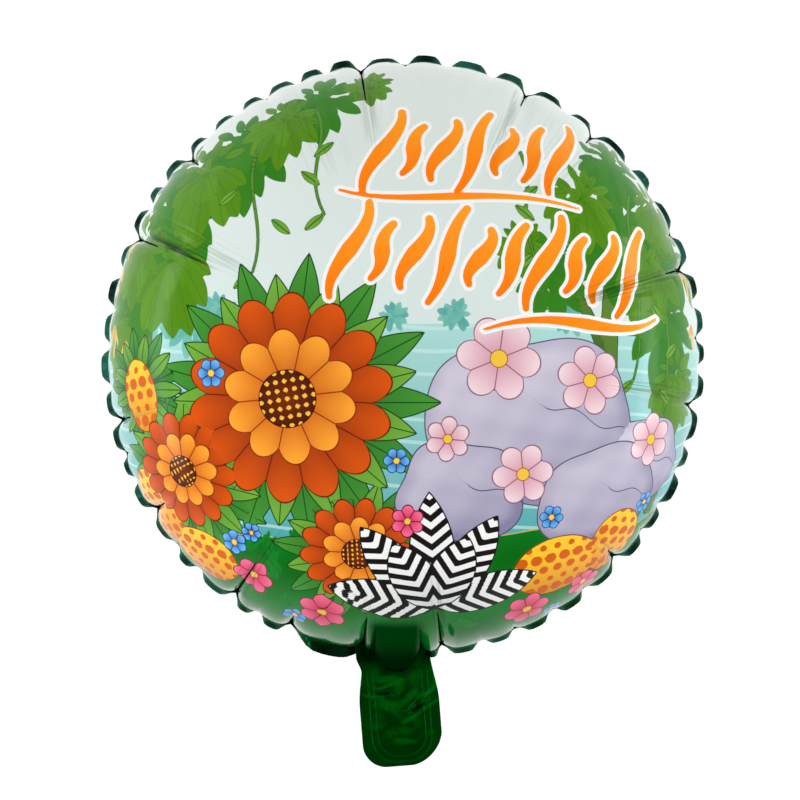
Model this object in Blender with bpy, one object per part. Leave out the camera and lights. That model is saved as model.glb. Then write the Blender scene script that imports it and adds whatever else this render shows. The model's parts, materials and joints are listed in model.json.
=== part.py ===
"""Round 18 inch foil balloon, full of air and lying on its back.

Two films, a printed front and a plain back, are heat-sealed together round the rim and down
both sides of a tail. A flat inflation valve lies between them in the tail. Metres, +Z up. The
origin is the centre of the small flat spot that the balloon rests on. The printed front
faces +Z and the tail points along -Y.
"""

import math
from typing import NamedTuple

import bmesh
import bpy
import numpy as np

# The films, laid flat and as sealed
FLAT_DIAMETER = 0.457  # the round film before it is filled, seam band included
SEAM_WIDTH = 0.006  # heat-sealed band outside the envelope
WING_WIDTH = 0.011  # the same band where it widens beside the neck
FILM = 0.00045  # one film, thicker than the real one so that it is a sound solid
FILM_GAP = 0.0003  # between the two films

# The inflated envelope
FLAT_TO_INFLATED = 1.31103  # flat radius over inflated radius of two sealed discs
REST_SPOT_RADIUS = 0.045
REST_SLOPES = (12, 23, 34, 45, 56, 67, 78, 90)  # slope of the film at each ring, degrees

# The puckered rim. Each long crease has its angle in degrees, anticlockwise from +X, and the
# number of scallops between it and the crease before. The first stretch starts at the neck.
CREASE_ANGLES = (
    (316.5, 6),
    (350.5, 5),
    (377.5, 4),
    (409.5, 4),
    (425.0, 2),
    (458.5, 4),
    (497.0, 6),
    (516.0, 3),
    (552.5, 5),
    (571.5, 3),
    (594.5, 3),
    (607.0, 2),
)
CREASE_DEPTH = 0.006
CREASE_START = 42  # slope of the film where a long crease fades out, degrees
NOTCH_DEPTH = 0.0025
NOTCH_START = 68
SEAM_WAVE = 0.0042  # the seam's zigzag towards the front and the back
TAB_LEAN = 50  # how far the band leans back in the middle of a scallop, degrees
NOTCH_LEAN = 78  # and between two scallops
WING_LEAN = 10
COLUMN_STEP = 1.9  # rough angle between columns of the mesh, degrees

# The neck and the tail
NECK_ANGLE = 268.4  # where the neck sits on the rim, degrees anticlockwise from +X
NECK_WIDTH = 0.039
NECK_BULGE = 0.010  # how far the filled neck reaches past the seam circle
NECK_START = 38  # slope of the film where the neck begins, degrees
NECK_LIP = 0.0015  # the seam band's width across the neck
TAIL_DIRECTION = 274.5  # which way the tail points, degrees anticlockwise from +X
TAIL_WIDTH = 0.046
TAIL_LENGTH = 0.0656  # from the seam circle to the tip
TAIL_CORNER = 0.017
TAIL_ROOT = 0.003  # how far the tail's films run back past the creases beside the neck
TAIL_FLARE = 0.030  # distance over which the neck widens to the tail
TAIL_PUFF = 0.0035  # air in the top of the tail, on each side
TAIL_PUFF_LENGTH = 0.022
TAIL_END_STEPS = 5
TAIL_ACROSS = 8

# The valve, a flat film sleeve in the tail
VALVE_MARGIN = 0.010  # from the tail's side edges to the valve
VALVE_TO_TIP = 0.018  # from the valve's end to the tail's tip
VALVE_FILM = 0.0004
VALVE_CLEARANCE = 0.0003
VALVE_CORNER = 0.0065

PRINTED_PALE = (0.70, 0.80, 0.74, 1.0)
FOIL_GREEN = (0.004, 0.115, 0.012, 1.0)
VALVE_CLEAR = (0.62, 0.66, 0.62, 1.0)

RIM_RADIUS = (FLAT_DIAMETER / 2 - SEAM_WIDTH) / FLAT_TO_INFLATED
HALF_GAP = FILM_GAP / 2
TAIL_HALF_GAP = VALVE_FILM / 2 + VALVE_CLEARANCE


class Notch(NamedTuple):
    """A place where the seam is drawn in between two scallops."""

    angle: float
    depth: float
    start: float
    wave: float
    band: float
    lean: float


class Tab(NamedTuple):
    """One scallop of the seam band, between two notches, and the band's width and lean."""

    first: Notch
    last: Notch
    band: float
    lean: float
    is_neck: bool


class Column(NamedTuple):
    """What one meridian of the envelope needs at its rim."""

    angle: float
    pinch: float
    start: float
    middle: float
    band: float
    lean: float
    bulge: float


def clear_scene():
    """Removes whatever the file opened with."""
    for item in list(bpy.data.objects):
        bpy.data.objects.remove(item, do_unlink=True)


def smooth_rise(value, low, high):
    """0 up to low, 1 from high on, and a smooth rise between."""
    share = min(1.0, max(0.0, (value - low) / (high - low)))
    return share * share * (3 - 2 * share)


def film_height(slope):
    """Height of the inflated film above the seam circle where it has this slope, in radians."""
    steps = np.linspace(slope, math.pi / 2, 401)
    heights = np.sqrt(np.sin((steps[1:] + steps[:-1]) / 2))
    return RIM_RADIUS / 2 * float(np.sum(heights * np.diff(steps)))


def film_radius(slope):
    """Distance of the inflated film from the axis where it has this slope, in radians."""
    return RIM_RADIUS * math.sqrt(math.sin(slope))


REST_SLOPE = math.asin((REST_SPOT_RADIUS / RIM_RADIUS) ** 2)
SEAM_HEIGHT = film_height(REST_SLOPE) + HALF_GAP + FILM


def rim_tabs():
    """All scallops round the rim, in order from the neck's right-hand side, and the neck last."""
    neck_half = math.degrees(math.asin(NECK_WIDTH / 2 / RIM_RADIUS))
    neck_right = Notch(NECK_ANGLE + neck_half, CREASE_DEPTH, CREASE_START, 0, NECK_LIP, 0)
    neck_left = neck_right._replace(angle=NECK_ANGLE + 360 - neck_half)
    crease = Notch(0, CREASE_DEPTH, CREASE_START, SEAM_WAVE, SEAM_WIDTH, NOTCH_LEAN)
    small = crease._replace(depth=NOTCH_DEPTH, start=NOTCH_START)
    notches = [neck_right]
    for angle, scallops in CREASE_ANGLES:
        from_angle = notches[-1].angle
        for step in range(1, scallops):
            between = from_angle + (angle - from_angle) * step / scallops
            notches.append(small._replace(angle=between))
        notches.append(crease._replace(angle=angle))
    notches.append(neck_left)
    tabs = [Tab(a, b, SEAM_WIDTH, TAB_LEAN, False) for a, b in zip(notches, notches[1:])]
    tabs[-1] = tabs[-1]._replace(band=WING_WIDTH, lean=WING_LEAN)
    round_again = neck_right._replace(angle=neck_right.angle + 360)
    tabs.append(Tab(neck_left, round_again, NECK_LIP, 0, True))
    return tabs


def column_at(tab, share):
    """The meridian at this share, 0 to 1, of the way across a scallop."""
    nearest = tab.first if share <= 0.5 else tab.last
    inward = 2 * min(share, 1 - share)
    angle = tab.first.angle + (tab.last.angle - tab.first.angle) * share
    pinch = nearest.depth * (1 - inward) ** 2
    crest = (1 - math.cos(math.pi * inward)) / 2
    if tab.is_neck:
        bulge = (NECK_BULGE + pinch) * math.sqrt(math.sin(math.pi * share))
        return Column(angle, pinch, nearest.start, 0, tab.band, 0, bulge)
    middle = SEAM_WAVE * crest - nearest.wave * (1 - crest)
    open_share = math.sin(math.pi / 2 * inward)
    band = nearest.band + (tab.band - nearest.band) * open_share
    lean = nearest.lean + (tab.lean - nearest.lean) * open_share
    return Column(angle, pinch, nearest.start, middle, band, math.radians(lean), 0)


def rim_columns():
    """Every meridian of the mesh, an even number in each scallop."""
    columns = []
    for tab in rim_tabs():
        width = tab.last.angle - tab.first.angle
        count = 2 * max(2, round(width / (2 * COLUMN_STEP)))
        columns += [column_at(tab, step / count) for step in range(count)]
    return columns


def polar(radius, angle, height):
    """A point from its distance to the axis, its angle in degrees and its height."""
    turn = math.radians(angle)
    return (radius * math.cos(turn), radius * math.sin(turn), height)


def envelope_point(column, slope, side):
    """A point of the inflated film. side is 1 for the front film and -1 for the back one."""
    degrees = math.degrees(slope)
    dent = column.pinch * smooth_rise(degrees, column.start, 90)
    push = column.bulge * smooth_rise(degrees, NECK_START, 90)
    radius = film_radius(slope) - dent * math.sin(slope) + push
    height = film_height(slope) - dent * math.cos(slope) + HALF_GAP + FILM
    wave = column.middle * smooth_rise(degrees, NOTCH_START, 90)
    return polar(radius, column.angle, max(0.0, SEAM_HEIGHT + side * height + wave))


def band_point(column, outward, lift):
    """A point of the seam band, at the seam (outward 0) or at the band's edge (outward 1)."""
    out = math.cos(column.lean) * column.band + math.sin(column.lean) * lift
    back = math.sin(column.lean) * column.band - math.cos(column.lean) * lift
    radius = RIM_RADIUS - column.pinch + column.bulge + out * outward
    height = SEAM_HEIGHT + column.middle - back * outward + lift * (1 - outward)
    return polar(radius, column.angle, height)


def bridge(mesh, outer, inner):
    """Triangles between two closed rings. The outer one has as many points, or twice as many."""
    double = len(outer) == 2 * len(inner)
    for i in range(len(inner)):
        here, after = inner[i], inner[(i + 1) % len(inner)]
        if double:
            a, b, c = (outer[(2 * i + k) % len(outer)] for k in range(3))
            corners = ((here, a, b), (here, b, after), (after, b, c))
        else:
            a, b = outer[i], outer[(i + 1) % len(outer)]
            corners = ((here, a, b), (here, b, after))
        for corner in corners:
            mesh.faces.new(corner)


def fan(mesh, ring, centre):
    """Closes a ring with triangles to one point."""
    for i, vertex in enumerate(ring):
        mesh.faces.new((centre, vertex, ring[(i + 1) % len(ring)]))


def finished(name, mesh, material):
    """An object from a bmesh, with its faces pointing out, smooth except at sharp edges."""
    bmesh.ops.recalc_face_normals(mesh, faces=mesh.faces)
    data = bpy.data.meshes.new(name)
    mesh.to_mesh(data)
    mesh.free()
    data.materials.append(material)
    data.shade_smooth()
    data.set_sharp_from_angle(angle=math.radians(40))
    made = bpy.data.objects.new(name, data)
    bpy.context.scene.collection.objects.link(made)
    return made


def film_material(name, colour, metallic, roughness):
    """A glossy film finish."""
    material = bpy.data.materials.new(name)
    material.use_nodes = True
    shader = material.node_tree.nodes["Principled BSDF"]
    shader.inputs["Base Color"].default_value = colour
    shader.inputs["Metallic"].default_value = metallic
    shader.inputs["Roughness"].default_value = roughness
    return material


def envelope_half(name, side, material):
    """One film's half of the filled envelope as a closed solid, with its layer of the band."""
    columns = rim_columns()
    mesh = bmesh.new()

    def ring(point, some):
        return [mesh.verts.new(point(column)) for column in some]

    slopes = [REST_SLOPE] + [math.radians(degrees) for degrees in REST_SLOPES]
    rings = []
    for slope in slopes:
        some = columns[::2] if slope < math.radians(CREASE_START) else columns
        rings.append(ring(lambda column: envelope_point(column, slope, side), some))
    for outward, lift in ((1, HALF_GAP + FILM), (1, HALF_GAP), (0, HALF_GAP)):
        rings.append(ring(lambda column: band_point(column, outward, side * lift), columns))
    for inner, outer in zip(rings, rings[1:]):
        bridge(mesh, outer, inner)
    pole_height = SEAM_HEIGHT + side * (film_height(0.0) + HALF_GAP + FILM)
    fan(mesh, rings[0], mesh.verts.new((0, 0, max(0.0, pole_height))))
    fan(mesh, rings[-1], mesh.verts.new((0, 0, SEAM_HEIGHT + side * HALF_GAP)))
    return finished(name, mesh, material)


def tail_place(across, along):
    """A place in the tail, from its middle line and the seam circle, in the model's plane."""
    root_x, root_y, _ = polar(RIM_RADIUS, NECK_ANGLE, 0)
    out_x, out_y, _ = polar(1, TAIL_DIRECTION, 0)
    return root_x + along * out_x - across * out_y, root_y + along * out_y + across * out_x


def rounded_end(length, corner, half_width):
    """Distances along a tongue and its half width there, round its rounded end."""
    for step in range(TAIL_END_STEPS + 1):
        turn = math.pi / 2 * step / TAIL_END_STEPS
        yield (
            length - corner + corner * math.sin(turn),
            half_width - corner * (1 - math.cos(turn)),
        )


def tail_rows():
    """Distances along the tail and its half width there, from the neck to the rounded end."""
    straight = TAIL_LENGTH - TAIL_CORNER
    rows = []
    for along in np.linspace(-CREASE_DEPTH - TAIL_ROOT, straight, 8)[:-1]:
        flare = smooth_rise(along, 0, TAIL_FLARE)
        rows.append((along, (NECK_WIDTH + (TAIL_WIDTH - NECK_WIDTH) * flare) / 2))
    return rows + list(rounded_end(TAIL_LENGTH, TAIL_CORNER, TAIL_WIDTH / 2))


def loft(name, sections, material):
    """A closed flat solid. Each section is a ring, one face's points and then the other's back."""
    mesh = bmesh.new()
    rings = [[mesh.verts.new(point) for point in section] for section in sections]
    for inner, outer in zip(rings, rings[1:]):
        bridge(mesh, outer, inner)
    for ring in (rings[0], rings[-1]):
        for i in range(len(ring) // 2 - 1):
            mesh.faces.new((ring[i], ring[i + 1], ring[-2 - i], ring[-1 - i]))
    return finished(name, mesh, material)


def tail_layer(name, side, material):
    """One film's layer of the tail, thicker towards the neck where air fills it."""
    sections = []
    for along, half_width in tail_rows():
        air = TAIL_PUFF * (1 - smooth_rise(along, NECK_BULGE, NECK_BULGE + TAIL_PUFF_LENGTH))
        inside, outside = [], []
        for step in range(TAIL_ACROSS + 1):
            share = 2 * step / TAIL_ACROSS - 1
            x, y = tail_place(share * half_width, along)
            puff = air * (1 - share * share)
            inside.append((x, y, SEAM_HEIGHT + side * TAIL_HALF_GAP))
            outside.append((x, y, SEAM_HEIGHT + side * (TAIL_HALF_GAP + FILM + puff)))
        sections.append(outside + inside[::-1])
    return loft(name, sections, material)


def film_with_tail(name, side, material):
    """One whole film: its half of the envelope joined to its layer of the tail."""
    film = envelope_half(name, side, material)
    tail = tail_layer(name + "_tail_tool", side, material)
    tail.hide_render = True
    tail.display_type = "WIRE"
    join = film.modifiers.new("join_tail", "BOOLEAN")
    join.operation = "UNION"
    join.object = tail
    return film


def inflation_valve(material):
    """The flat valve sleeve between the tail's films, below the filled neck."""
    start = NECK_BULGE + NECK_LIP + VALVE_CLEARANCE
    half_width = TAIL_WIDTH / 2 - VALVE_MARGIN
    rows = [(start, half_width)]
    rows += rounded_end(TAIL_LENGTH - VALVE_TO_TIP, VALVE_CORNER, half_width)
    sections = []
    for along, half_width in rows:
        corners = ((-1, 1), (1, 1), (1, -1), (-1, -1))
        section = []
        for share, face in corners:
            x, y = tail_place(share * half_width, along)
            section.append((x, y, SEAM_HEIGHT + face * VALVE_FILM / 2))
        sections.append(section)
    return loft("inflation_valve", sections, material)


def main():
    """Builds the balloon."""
    clear_scene()
    printed = film_material("printed_film", PRINTED_PALE, 0.25, 0.28)
    green = film_material("green_foil", FOIL_GREEN, 0.9, 0.25)
    clear_film = film_material("valve_film", VALVE_CLEAR, 0.0, 0.35)
    film_with_tail("front_film", 1, printed)
    film_with_tail("back_film", -1, green)
    inflation_valve(clear_film)


main()
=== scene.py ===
"""Looks of a round 18 inch foil balloon that lies on its back and is seen from straight above.

The solids of the frame give its place and its mounts. Here each film becomes a fine mesh with
its puckers, folds and heat-sealed band, and gets its printed or metallised finish. Everything
is in metres, +Z up, with the rest spot at the origin.
"""

import json
import logging
import math
from dataclasses import dataclass, field, replace
from enum import Enum
from typing import Any, NamedTuple, Sequence

import bpy
import numpy as np
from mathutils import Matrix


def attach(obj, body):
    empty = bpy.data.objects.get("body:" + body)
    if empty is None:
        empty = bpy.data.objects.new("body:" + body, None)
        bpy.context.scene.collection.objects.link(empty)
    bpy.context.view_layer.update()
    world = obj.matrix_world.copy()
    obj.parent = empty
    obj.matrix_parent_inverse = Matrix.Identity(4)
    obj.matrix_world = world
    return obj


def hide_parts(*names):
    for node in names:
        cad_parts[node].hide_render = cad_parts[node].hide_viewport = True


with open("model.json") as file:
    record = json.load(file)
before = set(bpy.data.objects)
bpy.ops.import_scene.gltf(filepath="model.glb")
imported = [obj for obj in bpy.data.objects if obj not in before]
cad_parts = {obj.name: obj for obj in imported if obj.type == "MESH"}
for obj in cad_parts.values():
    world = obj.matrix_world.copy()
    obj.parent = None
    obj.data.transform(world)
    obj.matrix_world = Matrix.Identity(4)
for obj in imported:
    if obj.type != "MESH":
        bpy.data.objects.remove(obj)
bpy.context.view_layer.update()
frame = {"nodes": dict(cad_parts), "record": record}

FULL_TURN = 2 * math.pi
MM_PER_M = 1000
SHARP_EDGE_DEGREES = 75

Numbers = np.ndarray | float
Pair = tuple[float, float]

log = logging.getLogger("balloon")


def smooth_rise(value: Numbers, low: Numbers, high: Numbers) -> Numbers:
    """Rises smoothly from 0 where a value is at the low end to 1 at the high one."""
    share = np.clip((value - low) / (high - low), 0.0, 1.0)
    return share * share * (3 - 2 * share)


def turn_from(angles: np.ndarray, degrees: float) -> np.ndarray:
    """How far angles in radians lie from a direction in degrees, with a sign."""
    return (angles - math.radians(degrees) + math.pi) % FULL_TURN - math.pi


def put_in_scene(name: str, data: bpy.types.ID) -> bpy.types.Object:
    """Makes an object of a mesh, curve, light or camera and links it to the scene."""
    made = bpy.data.objects.new(name, data)
    bpy.context.scene.collection.objects.link(made)
    return made


class Side(Enum):
    """Which of the two films a surface belongs to."""

    FRONT = 1
    BACK = -1


class Columns(NamedTuple):
    """What the meridians of the envelope need at their rim, one number for each."""

    pinch: np.ndarray
    start: np.ndarray
    middle: np.ndarray
    band: np.ndarray
    lean: np.ndarray
    bulge: np.ndarray
    offset: np.ndarray
    groove: np.ndarray
    reach: np.ndarray


@dataclass(frozen=True)
class FilmProfile:
    """The rounded section of an envelope made of two flat discs sealed at the rim."""

    flat_diameter: float = 0.457
    seam_width: float = 0.006
    flat_to_inflated: float = 1.31103
    steps: int = 4001

    @property
    def flat_radius(self) -> float:
        """Radius of the unfilled disc, up to its seam."""
        return self.flat_diameter / 2 - self.seam_width

    @property
    def rim_radius(self) -> float:
        """Radius of the seam circle once the envelope is full."""
        return self.flat_radius / self.flat_to_inflated

    def table(self) -> tuple[np.ndarray, np.ndarray, np.ndarray]:
        """Works the section out by summing along it.

        Returns:
            Slopes in radians, the distance along the film from its pole at each slope, and
            the film's height over the seam circle there.
        """
        root = np.linspace(0, math.sqrt(math.pi / 2), self.steps)
        middle = (root[1:] + root[:-1]) / 2
        width = np.diff(root)
        along = self.rim_radius * middle / np.sqrt(np.sin(middle**2)) * width
        rise = self.rim_radius * middle * np.sqrt(np.sin(middle**2)) * width
        length = np.concatenate(([0.0], np.cumsum(along)))
        climbed = np.concatenate(([0.0], np.cumsum(rise)))
        return root**2, length, climbed[-1] - climbed


@dataclass(frozen=True)
class Notch:
    """A place where the seam is drawn in, and the fold that runs inwards from it."""

    angle: float
    depth: float
    start: float
    wave: float
    band: float
    lean: float
    groove: float
    reach: float


@dataclass(frozen=True)
class FoldLine:
    """A radial line or sheaf of fine lines, which the front film's finish draws as painted shade. Distances
    run along the film from its seam.
    """

    angle: float
    begins: float
    ends: float
    strength: float
    half_width: float = 0.002
    fade_in: float = 0.2
    fade_out: float = 0.25

    def across(self, angles: np.ndarray, radius: float) -> np.ndarray:
        """Distance of points from the line, with a sign, in metres."""
        return turn_from(angles, self.angle) * radius

    def share(self, inset: float) -> float:
        """How strong the line is at a distance from the seam."""
        length = self.ends - self.begins
        rise = smooth_rise(inset, self.begins, self.begins + self.fade_in * length)
        return self.strength * rise * (1 - smooth_rise(inset, self.ends - self.fade_out * length, self.ends))


@dataclass(frozen=True)
class Rim:
    """The puckered seam: its scallops, its long creases and the neck.

    Angles and leans are in degrees. A pair of numbers gives the least and the most of a draw.
    """

    profile: FilmProfile = FilmProfile()
    creases: tuple[tuple[float, int, float], ...] = (
        # angle, scallops since the one before, reach along the film
        (277.5, 1, 0.074), (316.5, 5, 0.042), (350.5, 5, 0.036), (377.5, 4, 0.054), (409.5, 4, 0.044),
        (425.0, 2, 0.052), (458.5, 4, 0.074), (497.0, 6, 0.042), (516.0, 3, 0.062), (552.5, 5, 0.044),
        (571.5, 3, 0.044), (594.5, 3, 0.078), (607.0, 2, 0.040), (622.0, 1, 0.068),
    )
    crease_depth: float = 0.0030
    crease_start: float = 42
    crease_groove: float = 0.0028
    crease_depths: Pair = (0.8, 1.1)
    crease_grooves: Pair = (0.9, 1.1)
    crease_line_start: float = -0.004
    notch_depth: float = 0.0009
    notch_start: float = 79
    notch_groove: float = 0.0012
    notch_shift: float = 0.12
    notch_depths: Pair = (0.6, 1.3)
    notch_grooves: Pair = (0.3, 1.4)
    notch_reaches: Pair = (0.016, 0.040)
    wave: float = 0.0042
    wave_start: float = 72
    tab_lean: float = 57
    tab_lean_spread: float = 18
    tab_least_width: float = 0.72
    tab_least_height: float = 0.6
    tab_gaps: Pair = (0.04, 0.24)
    tab_rise: float = 0.5
    notch_lean: float = 88
    wing_lean: float = 10
    wing_width: float = 0.0074
    wing_root: float = 0.0045
    wing_taper: float = 0.45
    wing_tip: float = 0.25
    neck_angle: float = 268.4
    neck_right: float = 273.3
    neck_left: float = 624.2
    neck_width: float = 0.039
    neck_bulge: float = 0.010
    neck_start: float = 38
    neck_lip: float = 0.0015
    neck_groove: float = 0.00168
    neck_reach: float = 0.030
    seed: int = 11

    def notches(self) -> list[Notch]:
        """All notches from the neck's right side round to its left side."""
        chance = np.random.default_rng(self.seed)
        seam = self.profile.seam_width
        lip = (0.0, self.neck_lip, 0.0, self.neck_groove, self.neck_reach)
        crease = Notch(self.neck_right, self.crease_depth, self.crease_start, *lip)
        found = [crease]
        for angle, scallops, reach in self.creases:
            before = found[-1].angle
            for step in range(1, scallops):
                part = (step + chance.uniform(-self.notch_shift, self.notch_shift)) / scallops
                found.append(
                    Notch(
                        before + (angle - before) * part,
                        self.notch_depth * chance.uniform(*self.notch_depths),
                        self.notch_start,
                        self.wave,
                        seam,
                        self.notch_lean,
                        self.notch_groove * chance.uniform(*self.notch_grooves),
                        chance.uniform(*self.notch_reaches),
                    )
                )
            depth = self.crease_depth * chance.uniform(*self.crease_depths)
            groove = self.crease_groove * chance.uniform(*self.crease_grooves)
            found.append(
                Notch(angle, depth, self.crease_start, self.wave, seam, self.notch_lean, groove, reach)
            )
        found[-1] = replace(found[-1], band=self.wing_root, lean=self.wing_lean)
        found.append(replace(crease, angle=self.neck_left))
        return found

    def long_creases(self) -> list["FoldLine"]:
        """The dark lines of painted shade along the bottoms of the long creases."""
        long = [notch for notch in self.notches() if notch.start == self.crease_start]
        return [FoldLine(notch.angle, self.crease_line_start, notch.reach, 1.0) for notch in long]

    def angles(self, per_tab: int, gather: float) -> np.ndarray:
        """Angles of the rim's columns, closer together at each notch.

        Args:
            per_tab: Columns in each scallop.
            gather: How strongly they gather, 0 to 1.

        Returns:
            Angles in radians, rising, over one full turn.
        """
        marks = [notch.angle for notch in self.notches()]
        marks.append(marks[0] + 360)
        share = np.arange(per_tab) / per_tab
        share = share - gather * np.sin(FULL_TURN * share) / FULL_TURN
        spans = [low + (high - low) * share for low, high in zip(marks, marks[1:])]
        return np.radians(np.concatenate(spans))

    def at(self, angles: np.ndarray) -> Columns:
        """Reads the rim at any angles.

        Args:
            angles: Angles in radians.

        Returns:
            The columns there.
        """
        notches = self.notches()
        marks = np.array([notch.angle for notch in notches] + [notches[0].angle + 360])
        turned = (np.degrees(angles) - marks[0]) % 360 + marks[0]
        tab = np.clip(np.searchsorted(marks, turned, side="right") - 1, 0, len(marks) - 2)
        share = (turned - marks[tab]) / (marks[tab + 1] - marks[tab])
        nearest = np.where(share <= 0.5, tab, tab + 1) % len(notches)
        inward = 2 * np.minimum(share, 1 - share)

        def pick(name: str) -> np.ndarray:
            return np.array([getattr(notch, name) for notch in notches])[nearest]

        # the last scallop is the neck, and the wing is the second before it
        is_neck = tab == len(marks) - 2
        is_wing = tab == len(marks) - 4
        pinch = pick("depth") * (1 - inward) ** 3
        crest = (1 - np.cos(math.pi * inward)) / 2
        chance = np.random.default_rng(self.seed + 1)
        least = (self.tab_least_width, 0.0, self.tab_least_height)
        wide, tilt, high = (chance.uniform(low, 1, len(notches))[tab] for low in least)
        middle = np.where(is_neck, 0.0, self.wave * high * crest - pick("wave") * (1 - crest))
        gap = chance.uniform(*self.tab_gaps, len(notches))[tab]
        opened = smooth_rise(inward, gap, gap + self.tab_rise)
        tapered = smooth_rise(share, 0.0, self.wing_taper) * smooth_rise(1 - share, 0.0, self.wing_tip)
        opened = np.where(is_wing, tapered, opened)
        full = np.where(is_wing, self.wing_width, self.profile.seam_width * wide)
        full = np.where(is_neck, self.neck_lip, full)
        lean = np.where(is_wing, self.wing_lean, self.tab_lean - self.tab_lean_spread * tilt)
        lean = np.where(is_neck, 0.0, lean)
        swell = np.sqrt(np.clip(np.sin(math.pi * share), 0, 1))
        offset = np.where(share <= 0.5, turned - marks[tab], turned - marks[tab + 1])
        return Columns(
            pinch,
            pick("start"),
            middle,
            pick("band") + (full - pick("band")) * opened,
            np.radians(pick("lean") + (lean - pick("lean")) * opened),
            np.where(is_neck, (self.neck_bulge + pinch) * swell, 0.0),
            np.radians(offset),
            pick("groove"),
            pick("reach"),
        )


@dataclass(frozen=True)
class Wrinkle:
    """One soft radial fold of the film. Distances run along the film from its seam."""

    angle: float
    begins: float
    length: float
    depth: float
    width: float

    def dent(self, angles: np.ndarray, radius: float, inset: float) -> np.ndarray:
        """How far the fold sinks into the film.

        Args:
            angles: Angles of the points, in radians.
            radius: Their distance to the axis.
            inset: Their distance along the film from the seam.

        Returns:
            The depth at each point.
        """
        across = np.exp(-((turn_from(angles, self.angle) * radius / self.width) ** 2))
        share = np.clip((inset - self.begins) / self.length, 0, 1)
        return self.depth * across * np.sin(math.pi * np.sqrt(share)) ** 2


@dataclass(frozen=True)
class Envelope:
    """The filled envelope: where any point of either film lies."""

    rim: Rim
    seam_height: float
    lift: float = 0.0006
    edge_lift: float = 0.00025
    groove_width: float = 0.0009
    line_gate: float = 0.006
    fold_share: float = 0.5
    fold_width: float = 0.0055
    fold_fade: Pair = (0.4, 1.6)
    wrinkles: tuple[Wrinkle, ...] = ()
    creases: Sequence[FoldLine] = ()
    sheaves: Sequence[FoldLine] = ()

    def surface(self, angles: np.ndarray, flat: float, side: Side) -> tuple[np.ndarray, np.ndarray]:
        """Points of one ring of a film.

        Args:
            angles: Angles of the points, in radians.
            flat: Distance of the ring from the pole along the film.
            side: The film.

        Returns:
            The points, and what the finish needs to draw the fold lines of painted shade there.
        """
        profile = self.rim.profile
        slopes, lengths, heights = profile.table()
        slope = np.interp(flat, lengths, slopes)
        at = self.rim.at(angles)
        inset = profile.flat_radius - flat
        radius = profile.rim_radius * math.sqrt(math.sin(slope))
        degrees = math.degrees(slope)
        dent = at.pinch * smooth_rise(degrees, at.start, 90)
        arc = np.abs(at.offset) * radius
        near = np.exp(-arc / self.groove_width)
        fade = np.maximum(0, 1 - (inset / at.reach) ** 2)
        soft = np.exp(-((arc / self.fold_width) ** 2))
        wide = 1 - smooth_rise(inset, *(at.reach * share for share in self.fold_fade))
        dent = dent + at.groove * (near * fade + self.fold_share * soft * wide)
        for wrinkle in self.wrinkles:
            dent = dent + wrinkle.dent(angles, radius, inset)
        push = at.bulge * smooth_rise(degrees, self.rim.neck_start, 90)
        out = radius - dent * math.sin(slope) + push
        height = np.interp(flat, lengths, heights) - dent * math.cos(slope) + self.lift
        wave = at.middle * smooth_rise(degrees, self.rim.wave_start, 90)
        z = np.maximum(0.0, self.seam_height + side.value * height + wave)
        points = np.column_stack((out * np.cos(angles), out * np.sin(angles), z))
        return points, self.marks(angles, radius, inset)

    def marks(self, angles: np.ndarray, radius: float, inset: float) -> np.ndarray:
        """What draws the fold lines of painted shade on a ring.

        Args:
            angles: Angles of the points, in radians.
            radius: Their distance to the axis.
            inset: Their distance along the film from the seam.

        Returns:
            For each point its distance to the nearest long crease in millimetres, how strong
            that crease's line of painted shade is, and how strongly the fine strands of painted shade show.
        """
        nearest = np.full(len(angles), self.line_gate)
        line = np.zeros(len(angles))
        for crease in self.creases:
            across = crease.across(angles, radius)
            is_nearer = np.abs(across) < np.abs(nearest)
            nearest = np.where(is_nearer, across, nearest)
            gate = np.clip(2 - 2 * np.abs(across) / self.line_gate, 0, 1)
            line = np.where(is_nearer, crease.share(inset) * gate, line)
        strands = np.zeros(len(angles))
        for sheaf in self.sheaves:
            spread = np.exp(-((sheaf.across(angles, radius) / sheaf.half_width) ** 2))
            strands = np.maximum(strands, sheaf.share(inset) * spread)
        return np.column_stack((nearest * MM_PER_M, line, strands))

    def band(self, angles: np.ndarray, outward: float, lift: float) -> np.ndarray:
        """Points of the heat-sealed band.

        Args:
            angles: Angles of the points, in radians.
            outward: 0 at the seam and 1 at the band's edge.
            lift: Height over the middle of the seam, less than 0 towards the back.

        Returns:
            The points.
        """
        at = self.rim.at(angles)
        out = np.cos(at.lean) * at.band + np.sin(at.lean) * lift
        back = np.sin(at.lean) * at.band - np.cos(at.lean) * lift
        radius = self.rim.profile.rim_radius - at.pinch + at.bulge + out * outward
        z = self.seam_height + at.middle - back * outward + lift * (1 - outward)
        return np.column_stack((radius * np.cos(angles), radius * np.sin(angles), z))


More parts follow.
